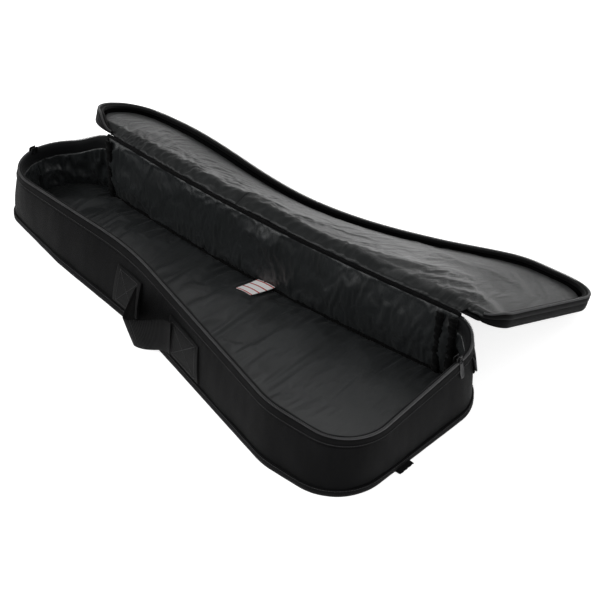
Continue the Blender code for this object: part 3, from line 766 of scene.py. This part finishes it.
# Spine, outside: a strip of the shell nylon that closes the back of the bag from the bottom to the fold.
spine_lines = []
spine_back_x = np.linspace(spine_from - 0.006, spine_to + 0.006, 200)


def spine_back_line(share, y, swell=0.0):
    """A level line of the spine from its foot (0) to the fold (1); y is where its foot stands."""
    leaning = y - 0.0140 * share - bow_at(spine_back_x, fold_bow) * share + swell
    return np.c_[spine_back_x, leaning, np.full(len(spine_back_x), 0.0085 + 0.0975 * share)]


for share in np.linspace(0, 1, 9):
    line = spine_back_line(share, 0.1240, 0.0018 * math.sin(math.pi * share))
    line[:, 1] += 0.0010 * ripple(line, 0.045, 33)
    spine_lines.append(line)
spine_lines += [spine_back_line(share, 0.1222) for share in (1, 0)]
spine_cloth = swept("spine_cloth", spine_lines, shell_nylon)
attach(spine_cloth, "bag")
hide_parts("spine_outer", "spine_foam")

# Floor seam: the raw edges of floor and spine linings, bound together and puckered into a dark frayed cord.
seam_satin = woven("seam_satin", (0.0030, 0.0031, 0.0033), 0.85, 0.05, 0.0006, 0.0003)


def bound_seam(name, line, size, seed, material, ride_on, pucker=0.45):
    """A puckered bound edge along a line: a small round bundle whose size changes from stitch to stitch."""
    line = np.array(line)
    even = np.arange(0, run_length(line)[-1], 0.0016)
    line = at_lengths(line, even)
    run = np.gradient(line, axis=0)
    run /= np.linalg.norm(run, axis=1)[:, None]
    side = np.cross(run, [0.0, 0.0, 1.0]) if abs(run[0, 2]) < 0.7 else np.cross(run, [0.0, 1.0, 0.0])
    side /= np.linalg.norm(side, axis=1)[:, None]
    rise = np.cross(side, run)
    track = np.c_[even, np.zeros_like(even), np.zeros_like(even)]
    rows = []
    for i in range(8):
        a = math.tau * i / 8
        swell = size * (1 + pucker * ripple(track + [0, i * 0.004, 0], 0.0045, seed) + 0.25
                        * np.sin(even * math.tau / 0.0044))
        rows.append(line + side * (math.cos(a) * swell)[:, None] + rise * (math.sin(a) * swell)[:, None])
    piece = swept(name, rows, material)
    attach(piece, ride_on)
    return piece


seam_line = np.c_[spine_x, 0.1000 - bow_at(spine_x, seam_bow), np.full(spine_cols, 0.0128)]
floor_seam_cord = bound_seam("floor_seam_cord", seam_line, 0.0024, 41, seam_satin, "bag")
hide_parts("floor_seam")

# Corner seams: where the gathered wall lining meets the spine, two bound edges stand up at the wide end and
# one at the narrow end, bunched into frills.


def frill(name, x, seed, replaced=None):
    """An upright ruffled edge from the floor seam to the fold."""
    height = np.linspace(0.012, 0.104, 150)
    share = (height - 0.012) / 0.092
    at = np.full(len(height), x)
    y = (0.1000 - bow_at(at, seam_bow)) * (1 - share) + (0.1030 - bow_at(at, fold_bow)) * share
    track = np.c_[height, 0 * height, 0 * height]
    rows = []
    for side, out in ((-0.0050, 0.0), (-0.0062, 0.5), (-0.0030, 1.0), (0.0030, 1.0), (0.0062, 0.5),
                      (0.0050, 0.0)):
        wave = 0.0042 * ripple(track + [0, side * 0.3, 0], 0.0055, seed) + 0.0012 * ripple(track, 0.0025,
                                                                                           seed + 1)
        stand = out * (0.0052 + 0.0022 * ripple(track, 0.0070, seed + 2))
        rows.append(np.c_[x + side + wave * out, y - stand, height])
    piece = swept(name, rows, seam_satin)
    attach(piece, "bag")
    if replaced:
        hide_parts(replaced)
    return piece


frill("frill_narrow", -0.296, 51, "ruffle_narrow")
frill("frill_wide", 0.322, 54, "ruffle_wide")
frill("frill_wide_outer", 0.342, 57)

# Label: a folded white satin tag caught in the floor seam, with two plain woven stripes.
label_material = new_material("label_weave", Roughness=0.55)
stripes = waves(label_material.node_tree, 0.0115, "Y", Phase_Offset=2.4)
colored(label_material, toned(label_material.node_tree, stripes.outputs["Fac"], (0.95, 0.945, 0.94),
                              (0.50, 0.035, 0.03), 0.90, 0.93))
raised(label_material, cloudy(label_material.node_tree, 0.0008), 0.0001)
label_corners = np.array([(0.0165, 0.0455), (0.0225, 0.0835), (0.0535, 0.0860), (0.0430, 0.0475)])
lu, lv = np.meshgrid(np.linspace(0, 1, 15), np.linspace(0, 1, 19))
label_plan = ((1 - lu) * (1 - lv))[..., None] * label_corners[0] + ((1 - lu) * lv)[...,
                                                                                   None] * label_corners[1] \
    + (lu * lv)[..., None] * label_corners[2] + (lu * (1 - lv))[..., None] * label_corners[3]
label_z = 0.0172 + 0.0030 * (1 - lv) ** 2 + 0.0014 * np.sin(lu * math.pi)
label_grid = np.dstack([label_plan, label_z])
label_uv = np.dstack([lu * 0.030, lv * 0.038])
label_tag = finished_cloth("label_tag", label_grid, label_uv, 0.0007, label_material, levels=1)
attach(label_tag, "bag")
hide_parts("woven_label")

# Lid: a padded panel with its own shallow side, folded back over the spine until it rests on the floor. It
# is soft, so its narrow waist hangs lower than its ends. Each part is made in two lengths that meet at the
# waist.
fold_y, fold_z = 0.110, 0.110
end_droop, waist_droop = 24.0, 9.0
waist_x = -0.03
bend_from = {"narrow": -0.300, "wide": 0.300}
lid_corners = [(-0.387, 0.110, 0.086), (-0.390, -0.037, 0.055), (-0.092, -0.047, 0.50), (0.275, -0.163, 0.14),
               (0.404, -0.168, 0.062), (0.402, 0.110, 0.026)]
lid_path = rounded_path(lid_corners, stations)
lid_out = outward_of(lid_path)
lid_along = run_length(lid_path)
lid_from_end = np.minimum(lid_along, lid_along[-1] - lid_along)
near_side = np.where(lid_path[:, 1] < 0.02)[0]
lid_cut = near_side[np.argmin(np.abs(lid_path[near_side, 0] - waist_x))]
lid_path[lid_cut, 0] = waist_x
lid_side = np.where(lid_path[:, 0] < 0, 0.0045 + 0.0165 * smooth((lid_from_end - 0.004) / 0.045),
                    0.0125 + 0.0085 * smooth(lid_from_end / 0.030))
edge_halves = (("narrow", slice(0, lid_cut + 1)), ("wide", slice(lid_cut, None)))


def lid_at(x, reach, depth):
    """Open place of a lid point: how far it is from the fold, and how far inside the lid's outer face."""
    x, reach, depth = np.broadcast_arrays(np.asarray(x, float), reach, depth)
    share = np.where(x > waist_x, smooth((bend_from["wide"] - x) / (bend_from["wide"] - waist_x)),
                     smooth((x - bend_from["narrow"]) / (waist_x - bend_from["narrow"])))
    droop = np.radians(end_droop + waist_droop * share - 1.2 * smooth((x - 0.15) / 0.15))
    bowed, reach = np.minimum(reach, 0), np.maximum(reach, 0)
    return np.stack([x, fold_y + bowed + reach * np.cos(droop) + depth * np.sin(droop),
                     fold_z - reach * np.sin(droop) + depth * np.cos(droop)], axis=-1)


def lid_row(depth, inset, k, wave=0.0):
    plan = lid_path[k] - lid_out[k] * (np.broadcast_to(inset, (stations,))[k] + wave)[:, None]
    return lid_at(plan[:, 0], fold_y - plan[:, 1], np.broadcast_to(depth, (stations,))[k])


def bends_with_lid(piece):
    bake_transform(piece)


def lid_nodes(half, *stems):
    """The CAD nodes that a half of the lid stands for: the wide half takes in the waist too."""
    return [stem + "_" + half for stem in stems] + [stem + "_waist" for stem in stems if half == "wide"]


def side_depth(share):
    """Depth on the lid's side, from just under the panel (0) to the zip (1)."""
    return 0.0012 + (lid_side - 0.0012) * share


def baked(piece):
    """Applies a piece's modifiers."""
    mesh = bpy.data.meshes.new_from_object(piece.evaluated_get(bpy.context.evaluated_depsgraph_get()))
    piece.modifiers.clear()
    piece.data = mesh
    return piece


lid_cols, lid_rows = 176, 54
lid_x = columns(-0.3850, 0.4020, lid_cols, 0.62)
split = int(np.argmin(np.abs(lid_x - waist_x)))
lid_x[split] = waist_x
column_halves = (("narrow", slice(0, split + 1)), ("wide", slice(split, None)))


def lid_grid(inset):
    """Plan grid of the lid from the fold to its edge: x and the reach from the fold."""
    outline = lid_path - lid_out * inset
    near, far = span_at(outline, np.clip(lid_x, outline[:, 0].min() + 0.0005, outline[:, 0].max() - 0.0005))
    bowed = (lid_x > spine_from) & (lid_x < spine_to)
    back = np.where(bowed, -bow_at(lid_x, fold_bow), fold_y - far)
    v = np.linspace(0, 1, lid_rows)[:, None]
    reach = back + (fold_y - near - back) * v
    return np.broadcast_to(lid_x, reach.shape), reach


def edge_distance(x, reach, outline):
    """Distance of each plan point from an outline given as x and reach."""
    points = np.c_[x.ravel(), reach.ravel()]
    best = np.full(len(points), 9.0)
    for spot in outline[::2]:
        best = np.minimum(best, np.hypot(points[:, 0] - spot[0], points[:, 1] - spot[1]))
    return best.reshape(x.shape)


lid_outline = np.c_[lid_path[:, 0], fold_y - lid_path[:, 1]]
px, preach = lid_grid(0.0006)
rim_near = edge_distance(px, preach, lid_outline)
fold_near = np.clip(preach + bow_at(px, fold_bow), 0, None)
panel_depth = 0.0022 * (1 - smooth(rim_near / 0.010)) - 0.0035 * smooth(rim_near / 0.05) * smooth(fold_near
                                                                                                  / 0.05)
soft = 0.0012 * ripple_over(px, preach, 0.060, 61)
panel_depth = np.maximum(panel_depth + soft * smooth(rim_near / 0.02), -0.0050)
panel_uv = np.dstack([px, preach])
for half, cols in column_halves:
    grid = lid_at(px, preach, panel_depth)[::-1, cols]
    panel = finished_cloth("lid_panel_" + half, grid, panel_uv[::-1, cols], 0.0011, shell_nylon)
    baked(panel)
    bends_with_lid(panel)
    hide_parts(*lid_nodes(half, "lid_outer", "lid_foam"))

# Lid side: the nylon strip round the lid's edge, then the ribbed zip tape folded over to the inside, and
# the coil on the fold between them.
for half, k in edge_halves:
    share_rows = []
    for share, inset in ((0.0, 0.0006), (0.10, -0.0003), (0.35, -0.0008), (0.62, -0.0002), (0.66, 0.0009),
                         (0.3, 0.0011),
                         (0.02, 0.0018)):
        wobble = 0.0006 * ripple(np.c_[lid_path[k], np.full(len(lid_path[k]), share * 0.01)], 0.030, 63)
        share_rows.append(lid_row(side_depth(share), inset, k, wobble * math.sin(math.pi * share)))
    side = swept("lid_side_" + half, share_rows, shell_nylon)
    bends_with_lid(side)
    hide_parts(*lid_nodes(half, "lid_gusset"))

    tape_section = ((0.60, -0.0009), (0.80, -0.0012), (0.96, -0.0006), (1.00, 0.0020), (0.97, 0.0060),
                    (0.90, 0.0086),
                    (0.74, 0.0094), (0.74, 0.0084), (0.86, 0.0074), (0.90, 0.0040), (0.88, 0.0012),
                    (0.62, 0.0001))
    tape_lines = [lid_row(side_depth(share), inset, k) for share, inset in tape_section]
    tape = swept("lid_tape_" + half, tape_lines, zip_tape_weave)
    bends_with_lid(tape)
    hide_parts(*lid_nodes(half, "lid_zip_tape"))

    turns = coil_turns("lid_coil_" + half, lid_row(lid_side + 0.0004, 0.0008, k), (0.0, 0.45, 0.89))
    bends_with_lid(turns)
    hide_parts(*lid_nodes(half, "lid_zip_coil"))

    held_by = run_stitches("lid_stitches_" + half, lid_row(side_depth(0.955), 0.0064, k), seam_stitch, None,
                           black_thread, lift=(0.0, 0.45, 0.89))
    bends_with_lid(held_by)

# Lid lining: one satin panel, cut long and gathered into the fold seam, so folds run out of it across the
# lid and die away towards the zip; it pulls smooth over the wide middle.
# painted shade: the same satin as the wall and floor lining, with its base colour darkened to under half for
# the lid
lid_lining_shaded = woven("lid_lining_satin", (0.0088, 0.0103, 0.0106), 0.36, 0.04, 0.0005, 0.0001, patch=0.18)
shader_of(lid_lining_shaded).inputs["Specular IOR Level"].default_value = 0.27
shader_of(lid_lining_shaded).inputs["Anisotropic"].default_value = 0.3
lx, lreach = lid_grid(0.0082)
rim_near = edge_distance(lx, lreach, lid_outline)
fold_near = np.clip(lreach + bow_at(lx, fold_bow), 0, None)
lining_depth = 0.0014 + 0.0096 * smooth(fold_near / 0.020) * smooth((rim_near - 0.004) / 0.012) \
    + 0.0020 * smooth(rim_near / 0.05) * smooth(fold_near / 0.06)
flat_grid = np.dstack([lx, lreach, lining_depth])
foam_grid = flat_grid.copy()
inner = flat_grid[1:-1, 1:-1]
slanted = inner[..., 0] + 0.45 * inner[..., 1] + 0.012 * np.sin(inner[..., 1] / 0.035)
start_lift = 0.0016 * ripple_over(slanted, inner[..., 1] * 0.22, 0.011, 71)
flat_grid[1:-1, 1:-1, 2] += np.abs(start_lift) * (1.3 - smooth(fold_near[1:-1, 1:-1] / 0.16))
lining_uv = np.dstack([lx, lreach])
lid_loose = 0.12 + 0.88 * np.exp(-fold_near / 0.050) + 0.45 * smooth((lx - 0.26) / 0.10)
lid_loose = np.clip(lid_loose * (1 - 0.5 * smooth((-0.24 - lx) / 0.08)), 0.05, 1.0)
flat_done = rested(settled("lid_cloth", flat_grid, lining_uv, lid_loose, 0.034), foam_grid, 2, 1)
flat_done, lining_uv = refined(flat_done, 3), refined(lining_uv, 3)
fold_gap = np.clip(flat_done[..., 1] + bow_at(flat_done[..., 0], fold_bow), 0, None)
flat_done[..., 2] += 0.0011 * puckers(flat_done[..., 0], fold_gap, 74, 0.018)
fine_halves = (("narrow", slice(0, split * 3 + 1)), ("wide", slice(split * 3, None)))
for half, cols in fine_halves:
    grid = lid_at(flat_done[:, cols, 0], flat_done[:, cols, 1], flat_done[:, cols, 2])
    lining = finished_cloth("lid_lining_" + half + "_cloth", grid, lining_uv[:, cols], 0.0009,
                            lid_lining_shaded)
    baked(lining)
    bends_with_lid(lining)
    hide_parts(*lid_nodes(half, "lid_lining"))

# Fold: the bound seam where lid, spine and their linings meet. It is a narrow ribbed tape over puckered
# cloth, with a flap that lies under the lid where the fold bows.
fold_x = np.linspace(spine_from - 0.004, spine_to + 0.002, 420)
fold_bend = bow_at(fold_x, fold_bow)
pucker = ripple_over(fold_x, 0 * fold_x, 0.0042, 81)
broad = ripple_over(fold_x, 0 * fold_x, 0.016, 82)
fold_rows = []
for across, under, z, puff in (
        (0.0000, 0.0, 0.1040, 0.0), (-0.0012, 0.0, 0.1056, 0.3), (-0.0018, 0.0, 0.1076, 0.8),
        (-0.0012, 0.0, 0.1094, 1.0),
        (0.0004, 0.0, 0.1102, 1.0), (0.0016, 0.0, 0.1098, 0.6), (0.0024, 0.0, 0.1093, 0.0),
        (0.0024, 0.7, 0.1092, 0.0),
        (0.0024, 0.7, 0.1082, 0.0), (0.0022, 0.0, 0.1078, 0.0), (0.0020, 0.0, 0.1050, 0.0)):
    fold_rows.append(np.c_[fold_x,
                           fold_y - 0.0015 - fold_bend + across + under * fold_bend - 0.0006 * broad * puff,
                           z + puff * (0.0007 * pucker + 0.0006 * broad)])
fold_seam = swept("fold_seam", fold_rows,
                  ribbed("fold_tape", (0.0032, 0.0032, 0.0035), 0.85, 0.0024, 0.0006, slant=0.2))
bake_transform(fold_seam)
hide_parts("fold_strip")

# Handle: one length of 50 mm webbing. Both ends are sewn flat to the near wall; the free length between
# them hangs out in a loop with a soft fold in it.
handle_webbing = ribbed("handle_webbing", (0.0052, 0.0052, 0.0056), 0.66, 0.0019, 0.0007)
near_stations = np.where(floor_path[:, 1] < -0.02)[0]


def stations_between(low, high):
    """Stations of the near side from one x to another."""
    return near_stations[(floor_path[near_stations, 0] > low) & (floor_path[near_stations, 0] < high)]


def sewn_patch(name, from_x, to_x, replaced):
    """A flat end of the handle, sewn round its edge and across."""
    k = stations_between(from_x, to_x)
    section = ((0.0128, 0.0006), (0.0125, -0.0010), (0.0134, -0.0021), (0.0250, -0.0025), (0.0375, -0.0026),
               (0.0500, -0.0025), (0.0616, -0.0021), (0.0625, -0.0010), (0.0622, 0.0006))
    patch = swept(name, [wall_row(z, inset, k) for z, inset in section], handle_webbing)
    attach(patch, "bag")
    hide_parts(replaced)
    sewn = k[4:-4]
    low, high, skin = 0.0165, 0.0585, -0.0026
    lines = [wall_row(low, skin, sewn), wall_row(high, skin, sewn)]
    for end in (sewn[0], sewn[-1]):
        lines.append([wall_row(z, skin, slice(end, end + 1))[0] for z in np.linspace(low, high, 30)])
    for slope in (np.linspace(low, high, len(sewn)), np.linspace(high, low, len(sewn))):
        lines.append([wall_row(z, skin, slice(i, i + 1))[0] for i, z in zip(sewn, slope)])
    facing = tuple(np.r_[floor_out[k[len(k) // 2]], 0.0])
    for number, line in enumerate(lines):
        row = run_stitches(name + "_stitches_" + str(number), line, (0.0033, 0.0026, 0.0006, 0.0007), "bag",
                           black_thread,
                           lift=facing)


sewn_patch("handle_patch_low", -0.0990, -0.0357, "handle_patch_narrow")
sewn_patch("handle_patch_high", 0.0420, 0.1204, "handle_patch_wide")

loop_keys = np.array([
    # x and y of the top edge, its height; x and y of the bottom edge, its height
    (-0.0440, -0.0800, 0.0622, -0.0440, -0.0890, 0.0125),
    (-0.0390, -0.0905, 0.0600, -0.0400, -0.0970, 0.0105),
    (-0.0310, -0.1090, 0.0530, -0.0270, -0.1085, 0.0045),
    (-0.0240, -0.1235, 0.0480, -0.0150, -0.1170, 0.0020),
    (-0.0165, -0.1262, 0.0478, -0.0080, -0.1195, 0.0020),
    (-0.0040, -0.1205, 0.0490, 0.0030, -0.1165, 0.0020),
    (0.0130, -0.1120, 0.0530, 0.0160, -0.1115, 0.0045),
    (0.0300, -0.1055, 0.0590, 0.0300, -0.1085, 0.0100),
    (0.0400, -0.1035, 0.0615, 0.0400, -0.1080, 0.0120),
    (0.0480, -0.1040, 0.0622, 0.0480, -0.1100, 0.0125)])
loop_middle = 60
loop_run = through(loop_keys, np.linspace(0, len(loop_keys) - 1 - 1e-6, 2 * loop_middle + 1))
loop_top, loop_foot = loop_run[:, :3], loop_run[:, 3:]
loop_ahead = np.gradient(0.5 * (loop_top + loop_foot), axis=0)
loop_face = np.cross(loop_ahead, loop_top - loop_foot)
loop_face /= np.linalg.norm(loop_face, axis=1)[:, None]
for name, k in (("handle_loop_low", slice(0, loop_middle + 1)),
                ("handle_loop_high", slice(loop_middle, None))):
    rows = []
    for share, skin in ((0.0, 0.0), (0.02, 0.00085), (0.25, 0.0010), (0.5, 0.0011), (0.75, 0.0010),
                        (0.98, 0.00085), (1.0, 0.0),
                        (0.98, -0.00085), (0.75, -0.0008), (0.5, -0.0007), (0.25, -0.0008), (0.02, -0.00085)):
        rows.append((loop_foot * (1 - share) + loop_top * share + loop_face * skin)[k])
    loop = swept(name, rows, handle_webbing)
    start = loop_top[0 if name == "handle_loop_low" else -1]
    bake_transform(loop)
    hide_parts("handle_loop")

# Strap tabs: 25 mm webbing folded over a wire ring at each far corner, sewn to the wall through both
# layers. The rings are dark coated wire and swing outward.
strap_webbing = ribbed("strap_webbing", (0.0060, 0.0060, 0.0064), 0.7, 0.0016, 0.0004)
dark_wire = new_material("dark_wire", Metallic=0.75, Roughness=0.38)
wire_wear = cloudy(dark_wire.node_tree, 0.004, Detail=6.0)
colored(dark_wire, toned(dark_wire.node_tree, wire_wear, (0.012, 0.012, 0.013), (0.060, 0.060, 0.062), 0.45,
                         0.80))


def tube(name, path, radius, material, sides=14):
    """A round wire bent into a closed ring."""
    path = np.array(path)
    run = np.roll(path, -1, axis=0) - np.roll(path, 1, axis=0)
    run /= np.linalg.norm(run, axis=1)[:, None]
    flat = np.cross(path[1] - path[0], path[len(path) // 3] - path[0])
    flat /= np.linalg.norm(flat)
    side = np.cross(run, flat)
    rows = [path + (side * math.cos(a) + flat * math.sin(a))
            * radius for a in (math.tau * i / sides for i in range(sides))]
    return swept(name, rows, material, loop=True)


joint_of = {joint["name"]: joint for joint in frame["record"]["behaviour"]["joints"]}
for side in ("wide", "narrow"):
    swing = joint_of["ring_" + side + "_swing"]
    pivot, along = np.array(swing["pos_m"]), np.array(swing["axis"], float)
    along = np.array([along[0], along[1], 0.0]) / np.hypot(along[0], along[1])
    outward = np.array([along[1], -along[0], 0.0])
    outward *= math.copysign(1, outward[0] * pivot[0])
    pivot = pivot - outward * (0.0030 if side == "narrow" else 0.0010)
    lean = 0.014 / 0.088
    up = np.array([0, 0, 1.0]) - outward * lean
    widths = np.linspace(-0.0125, 0.0125, 13)
    section = [(-0.0032, -0.0280), (-0.0031, 0.0004)]
    section += [(-0.0031 * math.cos(a), 0.0031 * math.sin(a)) for a in np.linspace(0.2, math.pi, 9)]
    section += [(0.0026, -0.0090), (0.0010, -0.0240), (-0.0004, -0.0268), (-0.0016, -0.0268),
                (-0.0008, -0.0230),
                (0.0010, -0.0090), (0.0019, 0.0)]
    section += [(0.0019 * math.cos(a), 0.0019 * math.sin(a)) for a in np.linspace(0.3, math.pi, 7)]
    section += [(-0.0019, -0.0100), (-0.0020, -0.0280)]
    tab = swept("strap_loop_" + side,
                [pivot + outward * out + up * z + widths[:, None] * along for out, z in section],
                strap_webbing)
    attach(tab, "bag")
    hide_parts("strap_tab_" + side)
    for number, z in enumerate((-0.0140, -0.0160, -0.0240)):
        out = 0.0026 + (z + 0.0090) * 0.107
        row = run_stitches("strap_stitches_" + side + "_" + str(number),
                           pivot + outward * (out + 0.0002) + up * z
                           + np.linspace(-0.0105, 0.0105, 20)[:, None] * along,
                           (0.0026, 0.0021, 0.0006, 0.0007), "bag", black_thread, lift=tuple(outward))
    corners = [(-0.0155, 0.0, 0.004), (-0.0155, -0.021, 0.004), (0.0155, -0.021, 0.004), (0.0155, 0.0, 0.004)]
    bends = []
    for (x, z, radius), (dx, dz), first in zip(corners, ((1, -1), (1, 1), (-1, 1), (-1, -1)),
                                               (0.5, 1.0, 1.5, 0.0)):
        for turn in np.linspace(0, math.pi / 2, 9):
            a = math.pi * first + turn
            bends.append((x + dx * radius + radius * math.cos(a), z + dz * radius + radius * math.sin(a)))
    swing_out = 0.0028
    ring = tube("strap_ring_" + side + "_wire",
                [pivot + along * x + up * z + outward * (swing_out * min(1.0, -z / 0.006)) for x,
                 z in bends], 0.0014, dark_wire)
    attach(ring, "ring_" + side)
    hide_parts("strap_ring_" + side)

# Zip sliders: small dark cast bodies gripping the coil from both sides beside the spine, each with a flat
# pull that hangs down outside.


def block(name, low, high, rounding, material, place=None):
    """A box with rounded edges; place moves its points to where it is."""
    work = bmesh.new()
    bmesh.ops.create_cube(work, size=1.0)
    low, high = np.array(low, float), np.array(high, float)
    for vertex in work.verts:
        vertex.co = Vector(low + (np.array(vertex.co) + 0.5) * (high - low))
    bmesh.ops.bevel(work, geom=list(work.edges), offset=rounding, segments=3, profile=0.6, affect="EDGES")
    if place:
        for vertex in work.verts:
            vertex.co = Vector(place(*vertex.co))
    mesh = bpy.data.meshes.new(name)
    work.to_mesh(mesh)
    work.free()
    mesh.shade_smooth()
    piece = bpy.data.objects.new(name, mesh)
    scene.collection.objects.link(piece)
    outwards(piece)
    piece.data.materials.append(material)
    return piece


def joined(name, pieces):
    """One piece made of several closed bodies."""
    work = bmesh.new()
    for piece in pieces:
        work.from_mesh(piece.data)
    mesh = bpy.data.meshes.new(name)
    work.to_mesh(mesh)
    work.free()
    mesh.shade_smooth()
    mesh.materials.append(pieces[0].data.materials[0])
    whole = bpy.data.objects.new(name, mesh)
    scene.collection.objects.link(whole)
    for piece in pieces:
        bpy.data.objects.remove(piece)
    return whole


def flat_pull(name, length, width, thick, material, place):
    """A zip pull: a flat plate with rounded ends, a raised rim, and a slot near its pivot at zero."""
    half, near, far = width / 2, 0.0016, -length + 0.0016
    outline, slot = [], []
    for a in np.linspace(0, math.tau, 48, endpoint=False):
        cos, sin = math.cos(a), math.sin(a)
        across = half * np.sign(cos) * abs(cos) ** 0.5 * (0.78 + 0.22 * smooth(0.5 - sin))
        down = (near + far) / 2 + (near - far) / 2 * np.sign(sin) * abs(sin) ** 0.6
        outline.append((across, down))
        slot.append((width * 0.26 * np.sign(cos) * abs(cos) ** 0.6,
                     -0.0024 + 0.0022 * np.sign(sin) * abs(sin) ** 0.6))
    outline, slot = np.array(outline), np.array(slot)
    rows = []
    for share, level in ((0.0, 0.28), (0.02, 0.5), (0.10, 0.5), (0.16, 0.34), (0.90, 0.34), (0.97, 0.5),
                         (1.0, 0.3),
                         (1.0, -0.3), (0.97, -0.5), (0.90, -0.34), (0.16, -0.34), (0.10, -0.5),
                         (0.02, -0.5), (0.0, -0.28)):
        flat = outline * (1 - share) + slot * share
        rows.append(np.array([place(across, level * thick, down) for across, down in flat]))
    pull = swept(name, rows, material, loop=True)
    return pull


for side, sign in (("wide", 1), ("narrow", -1)):
    low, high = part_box("slider_" + side)
    middle = 0.5 * (np.array(low) + np.array(high))
    reach = (high[0] - low[0]) / 2

    def at_slider(out, along, z, middle=middle, sign=sign):
        return middle[0] + sign * out, middle[1] + along * (1 - 0.10 * (z > 0)), middle[2] + z

    body = joined("slider_body_" + side, [
        block("outer_plate", (reach - 0.0013, -0.0060, -0.0048), (reach, 0.0060, 0.0048), 0.0005, dark_wire,
              at_slider),
        block("inner_plate", (-reach, -0.0060, -0.0048), (-reach + 0.0013, 0.0060, 0.0048), 0.0005,
              dark_wire, at_slider),
        block("bridge", (-reach + 0.0006, 0.0010, -0.0016), (reach - 0.0006, 0.0052, 0.0016), 0.0004,
              dark_wire, at_slider),
        block("lug", (reach - 0.0004, -0.0036, -0.0012), (reach + 0.0016, 0.0036, 0.0012), 0.0006,
              dark_wire, at_slider)])
    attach(body, "zip_slider_" + side)
    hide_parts("slider_" + side)
    swing = joint_of["zip_pull_" + side + "_swing"]
    pivot = np.array(swing["pos_m"])

    def at_pull(across, out, down, pivot=pivot, sign=sign):
        return pivot[0] + sign * (out + 0.0003 - down * 0.159), pivot[1] + across, pivot[2] + down

    pull = flat_pull("slider_tongue_" + side, 0.0278, 0.0080, 0.0016, dark_wire, at_pull)
    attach(pull, "zip_pull_" + side)
    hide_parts("slider_pull_" + side)

# Foot tab: a stub of the same webbing caught under the binding at the wide end.
foot_low, foot_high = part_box("foot_tab")
foot_across = np.linspace(foot_low[1], foot_high[1], 11)
foot_rows = []
for x, z in ((0.3885, 0.0012), (0.3950, 0.0008), (0.4010, 0.0010), (0.4030, 0.0018), (0.4024, 0.0030),
             (0.3950, 0.0036),
             (0.3885, 0.0040)):
    foot_rows.append(np.c_[np.full(11, x) + 0.0004 * np.sin(foot_across * 900), foot_across, np.full(11, z)])
foot_stub = swept("foot_stub", foot_rows, strap_webbing)
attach(foot_stub, "bag")
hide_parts("foot_tab")

# Pocket: a flat bag of the shell nylon sewn on the outside of the lid, with its own coil zip along the side
# nearest the fold. It is empty, so it lies slack.
pocket_corners = [(0.085, -0.030, 0.022), (0.352, -0.030, 0.022), (0.352, -0.215, 0.022),
                  (0.085, -0.165, 0.022)]
pocket_edge = rounded_path(pocket_corners, 260)
pocket_middle = pocket_edge.mean(axis=0)


def pocket_row(shrink, depth, amount):
    """A line round the pocket, this far in from its edge (0 to 1 of the way to its middle)."""
    line = pocket_edge + (pocket_middle - pocket_edge) * shrink
    puff = amount * ripple_over(line[:, 0], line[:, 1], 0.040, 91)
    return lid_at(line[:, 0], -line[:, 1], depth - puff)


pocket_rows = [pocket_row(0.0, -0.0012, 0), pocket_row(-0.003, -0.0028, 0), pocket_row(-0.004, -0.0050, 0),
               pocket_row(0.002, -0.0068, 0), pocket_row(0.012, -0.0076, 0.0002)]
pocket_rows += [pocket_row(s, -0.0080 - 0.0022 * smooth(s / 0.4), 0.0012) for s in np.linspace(0.05, 0.985,
                                                                                               26)]
pocket_rows += [pocket_row(s, -0.0012, 0) for s in (0.985, 0.5)]
pocket_bag = swept("pocket_bag", pocket_rows, shell_nylon, loop=True)
bends_with_lid(pocket_bag)
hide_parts("pocket")
pocket_hem = swept("pocket_hem", [pocket_row(s, d, 0) for s, d in (
    (-0.010, -0.0016), (-0.014, -0.0040), (-0.011, -0.0066), (0.0, -0.0078), (0.014, -0.0082),
    (0.020, -0.0078),
    (0.0, -0.0060), (-0.004, -0.0040), (-0.004, -0.0016))], grosgrain, loop=True)
bends_with_lid(pocket_hem)
pocket_zip = 0.056
zip_x = np.linspace(0.109, 0.328, 220)
tape_rows = [lid_at(zip_x, pocket_zip + across, depth) for across, depth in (
    (-0.0108, -0.0098), (-0.0110, -0.0108), (-0.0060, -0.0112), (-0.0012, -0.0113), (0.0012, -0.0113),
    (0.0060, -0.0112),
    (0.0110, -0.0108), (0.0108, -0.0098))]
pocket_tape = swept("pocket_tape", tape_rows, zip_tape_weave)
bends_with_lid(pocket_tape)
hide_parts("pocket_zip_tape")
pocket_coil = coil_turns("pocket_coil", lid_at(zip_x[4:-4], pocket_zip, -0.0122), (0.0, -0.4, -0.9))
bends_with_lid(pocket_coil)
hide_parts("pocket_zip_coil")
slider_at = joint_of["pocket_pull_swing"]["pos_m"][0]


def at_pocket_slider(x, across, rise):
    return lid_at(slider_at + x, pocket_zip + across, -0.0118 - rise)


pocket_runner = joined("pocket_runner", [
    block("plate", (-0.0045, -0.0040, 0.0006), (0.0045, 0.0040, 0.0018), 0.0005, dark_wire, at_pocket_slider),
    block("lug", (-0.0030, -0.0012, 0.0014), (0.0030, 0.0012, 0.0030), 0.0005, dark_wire, at_pocket_slider)])
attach(pocket_runner, "pocket_slider")
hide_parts("pocket_slider")


def at_pocket_pull(across, out, down):
    return lid_at(slider_at + down, pocket_zip + across, -0.0150 - out)


pocket_tongue = flat_pull("pocket_tongue", 0.0218, 0.0068, 0.0013, dark_wire, at_pocket_pull)
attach(pocket_tongue, "pocket_pull")
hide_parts("pocket_pull")
